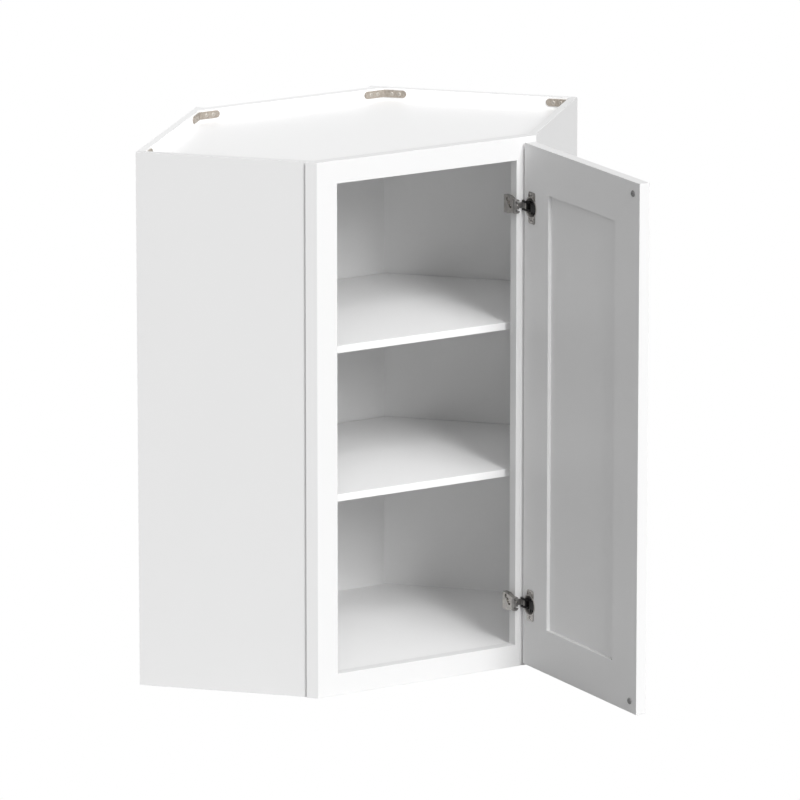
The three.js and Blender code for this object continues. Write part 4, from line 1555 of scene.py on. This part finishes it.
@dataclass
class HingeCup(HingeHalf):
    """The half of a hinge that is let into the door, with the link and the soft-close damper.

    The door lies as if shut: X and Y are measured from the hinge axis, Z from the hinge's middle.
    """

    middle: float = -24.1
    play: float = 0.3  # between moving parts
    radius: float = 17.5
    hollow: float = 16.3
    rim: float = 18.3
    face: Point = (0.3, 1.2)  # the flange, from and to in Y
    depth: float = 12.0
    floor: float = 10.8
    flange_middle: float = -27.6
    flange_half: Point = (10.5, 27.0)  # in X and Z
    flange_corner: float = 4.0
    screw_rise: float = 21.3
    link_arm: Point = (5.3, 8.3)  # from and to in Z, above and below the middle
    link_depth: float = 6.5
    link_end: float = -19.0
    link_bar: Point = (-11.99, -8.99)  # from and to in X
    link_neck: float = -8.65
    link_web: float = 0.3
    knuckle: float = 2.6
    bore: float = 1.5
    damper: Point = (-37.6, -22.3)  # from and to in X
    damper_half: float = 7.0
    damper_floor: float = -10.2
    leg_half: float = 1.5
    leg_foot: float = -11.5
    legs: Point = (-24.1, -30.6)  # the middles of the damper's feet in X
    plunger: Point = (-32.9, -18.9)  # from and to in X
    plunger_radius: float = 2.0
    plunger_depth: float = -5.25

    def cup(self) -> None:
        """Build the pressed cup and the flange that it is screwed on by."""
        near, far = self.face
        outer, rim, inner = self.radius, self.rim, self.hollow
        under, floor = -self.depth, -self.floor
        profile = [
            (0.0, under), (outer - 1.0, under), (outer - 0.3, under + 0.3), (outer, under + 1.0),
            (outer, near), (rim - 0.2, near), (rim, near + 0.2), (rim, far - 0.25), (rim - 0.25, far),
            (inner + 0.35, far), (inner, far - 0.35),
            (inner, floor + 1.0), (inner - 0.3, floor + 0.3), (inner - 1.0, floor), (0.0, floor),
        ]
        shell = moved(turned(profile, 96), ALONG_Y, shift(self.middle))
        low, high = self.link_arm
        play = self.play
        notches = [block((self.link_end, -self.link_depth - play, bottom - play),
                         (0, OVERRUN, bottom + high - low + play)) for bottom in (low, -high)]
        # the cup takes the lighter nickel, which is painted light
        self.hand_over("pressed_cup", cut(shell, *notches), Finishes.SATIN_NICKEL, "cup")
        half_x, half_z = self.flange_half
        outline = rounded((self.flange_middle - half_x, -half_z), (self.flange_middle + half_x, half_z),
                          self.flange_corner)
        flange = ease(facing_front(prism(outline, near, far)), 0.2)
        opening = moved(round_bar(self.rim, 2 * OVERRUN, 96), ALONG_Y, shift(self.middle, -OVERRUN))
        self.hand_over("flange", cut(flange, opening), Finishes.NICKEL)

    def link(self) -> None:
        """Build the black link: two arms in the cup, a bar between them, and an eye on each to turn on."""
        low, high = self.link_arm
        bar_far, bar_near = self.link_bar
        solids = [block((bar_far, -self.link_depth, -high), (bar_near, self.link_web, high))]
        for bottom in (low, -high):
            top = bottom + high - low
            solids += [block((self.link_end, -self.link_depth, bottom), (self.link_neck, self.link_web, top)),
                       block((bar_far, self.link_web - 0.2, bottom), (self.link_neck, self.knuckle, top)),
                       block((self.link_neck - 0.2, self.link_web, bottom), (0, self.knuckle, top)),
                       moved(round_bar(self.knuckle, high - low, 40), shift(z=bottom))]
        bore = moved(round_bar(self.bore, 40, 24), shift(z=-20))
        body = ease(cut(fused(*solids), bore), 0.25, least_angle=50.0)
        self.hand_over("black_link", body, Finishes.BLACK, "link")

    def damper_case(self) -> None:
        """Build the damper's case with its two feet and the bore of its plunger."""
        back, front = self.damper
        floor, roof = self.damper_floor, -self.play
        case = block((back, floor, -self.damper_half), (front, roof, self.damper_half))
        feet = [block((at - self.leg_half, floor, self.leg_foot), (at + self.leg_half, roof, 0))
                for at in self.legs]
        body = ease(fused(case, *feet), 0.5, segments=3)
        bore = moved(round_bar(self.plunger_radius + self.play, 25, 40), ALONG_X,
                     shift(front - 18, self.plunger_depth, 0))
        self.hand_over("damper_case", cut(body, bore), Finishes.BLACK, "damper_body")

    def damper_plunger(self) -> None:
        """Build the plunger, which rides on its own slide."""
        back, tip = self.plunger
        bar = moved(round_bar(self.plunger_radius, tip - back, 40, 0.4), ALONG_X,
                    shift(back, self.plunger_depth, 0))
        self.hand_over("damper_rod", bar, Finishes.BLACK, "damper_plunger", body=self.level.plunger_body)

    def screws(self) -> None:
        """Drive the two screws of the flange."""
        places = [Place((self.flange_middle, self.face[1] - 0.1, rise), (0, 1, 0), spin)
                  for rise, spin in ((self.screw_rise, 20.0), (-self.screw_rise, 65.0))]
        self.drive("cup_screws", Screws(head_height=1.4, shank_length=11.0), places, "cup_screw_upper",
                   "cup_screw_lower")

    def build(self) -> None:
        """Build and dress this half of the hinge."""
        self.cup()
        self.link()
        self.damper_case()
        self.damper_plunger()
        self.screws()


# ---------------------------------------------------------------- the studio


@dataclass(frozen=True)
class Softbox:
    """One far, soft light: its height, its heading from the cabinet's front and its width, in degrees."""

    power: float
    height: float
    heading: float
    angle: float = 20.0


def by_view(
    sheet: NodeSheet, lighting: bpy.types.NodeSocket, seen: bpy.types.NodeSocket
) -> bpy.types.NodeSocket:
    """Mix two shaders by who sees them.

    Args:
        sheet: the tree that both are in.
        lighting: what lights the cabinet.
        seen: what the camera sees.

    Returns:
        The mixed shader.
    """
    to_camera = sheet.add("ShaderNodeLightPath").outputs["Is Camera Ray"]
    return sheet.add("ShaderNodeMixShader", None, {0: to_camera, 1: lighting, 2: seen}).outputs[0]


@dataclass(frozen=True)
class Studio:
    """The camera, the pale floor and the soft light."""

    eye: tuple[float, float, float] = (-6.8719, -11.6495, 3.9194)
    heading: float = 30.364
    tilt: float = -14.250
    lens: float = 376.93
    floor_reach: float = 60.0
    floor_tone: float = 0.38
    sky: float = 0.37
    softboxes: tuple[Softbox, ...] = (
        Softbox(1.02, 28.0, 0.0), Softbox(1.34, 40.0, 0.0), Softbox(0.3, 40.0, 35.0),
        Softbox(0.44, 52.0, -10.0), Softbox(0.16, 70.0, 0.0, 25.0), Softbox(0.12, 25.0, -60.0, 30.0),
    )

    def camera(self) -> None:
        """Set up the camera at the photograph's viewing angle."""
        data = bpy.data.cameras.new("studio_camera")
        data.lens, data.sensor_width, data.clip_end = self.lens, 36.0, 300.0
        made = in_scene("studio_camera", data)
        made.matrix_world = shift(*self.eye) @ turn(-self.heading, "Z") @ turn(90 + self.tilt, "X")
        bpy.context.scene.camera = made

    def floor(self) -> None:
        """Lay the floor: white to the camera, and pale to the light that bounces off it."""
        reach = self.floor_reach
        sheet = Sheet("studio_floor")
        sweep = sheet.add("ShaderNodeEmission", None, {"Color": grey(1.0)}).outputs[0]
        matt = sheet.add("ShaderNodeBsdfDiffuse", None, {"Color": grey(self.floor_tone)}).outputs[0]
        mix = by_view(sheet, matt, sweep)
        data = bpy.data.meshes.new("studio_floor")
        corners = [(-reach, -reach, 0), (reach, -reach, 0), (reach, reach, 0), (-reach, reach, 0)]
        data.from_pydata(corners, [], [range(4)])
        data.materials.append(sheet.close(mix))
        made = in_scene("studio_floor", data)

    def light(self) -> None:
        """Hang the soft lights in front, and the even sky round them."""
        for softbox in self.softboxes:
            data = bpy.data.lights.new("studio_softbox", "SUN")
            data.energy, data.angle = softbox.power, math.radians(softbox.angle)
            made = in_scene("studio_softbox", data)
            made.matrix_world = turn(-softbox.heading, "Z") @ turn(90 - softbox.height, "X")
        world = bpy.data.worlds.new("studio_sky")
        bpy.context.scene.world = world
        world.use_nodes = True
        sky = NodeSheet(world.node_tree)
        glows = [sky.add("ShaderNodeBackground", None, {"Color": grey(tone)}).outputs[0]
                 for tone in (self.sky, 1.0)]
        sky.add("ShaderNodeOutputWorld", None, {"Surface": by_view(sky, *glows)})

    def build(self) -> None:
        """Set up the whole studio."""
        self.camera()
        self.floor()
        self.light()
        bpy.context.scene.view_settings.view_transform = "Standard"


# ---------------------------------------------------------------- the whole cabinet


def main() -> None:
    """Build the cabinet from the carcass outwards, then the studio."""
    logging.basicConfig(level=logging.INFO, format="%(message)s")
    cabinet, door = benches()
    plan = Plan()
    Studio().build()
    Carcass(cabinet, plan).build()
    ShelfSupports(cabinet, plan).build()
    FaceFrame(cabinet, plan).build()
    CornerBrackets(cabinet, plan).build()
    Door(door).build()
    for level in Level:
        HingeArm(cabinet, level).build()
        HingeCup(door, level).build()


if __name__ == "__main__":
    main()
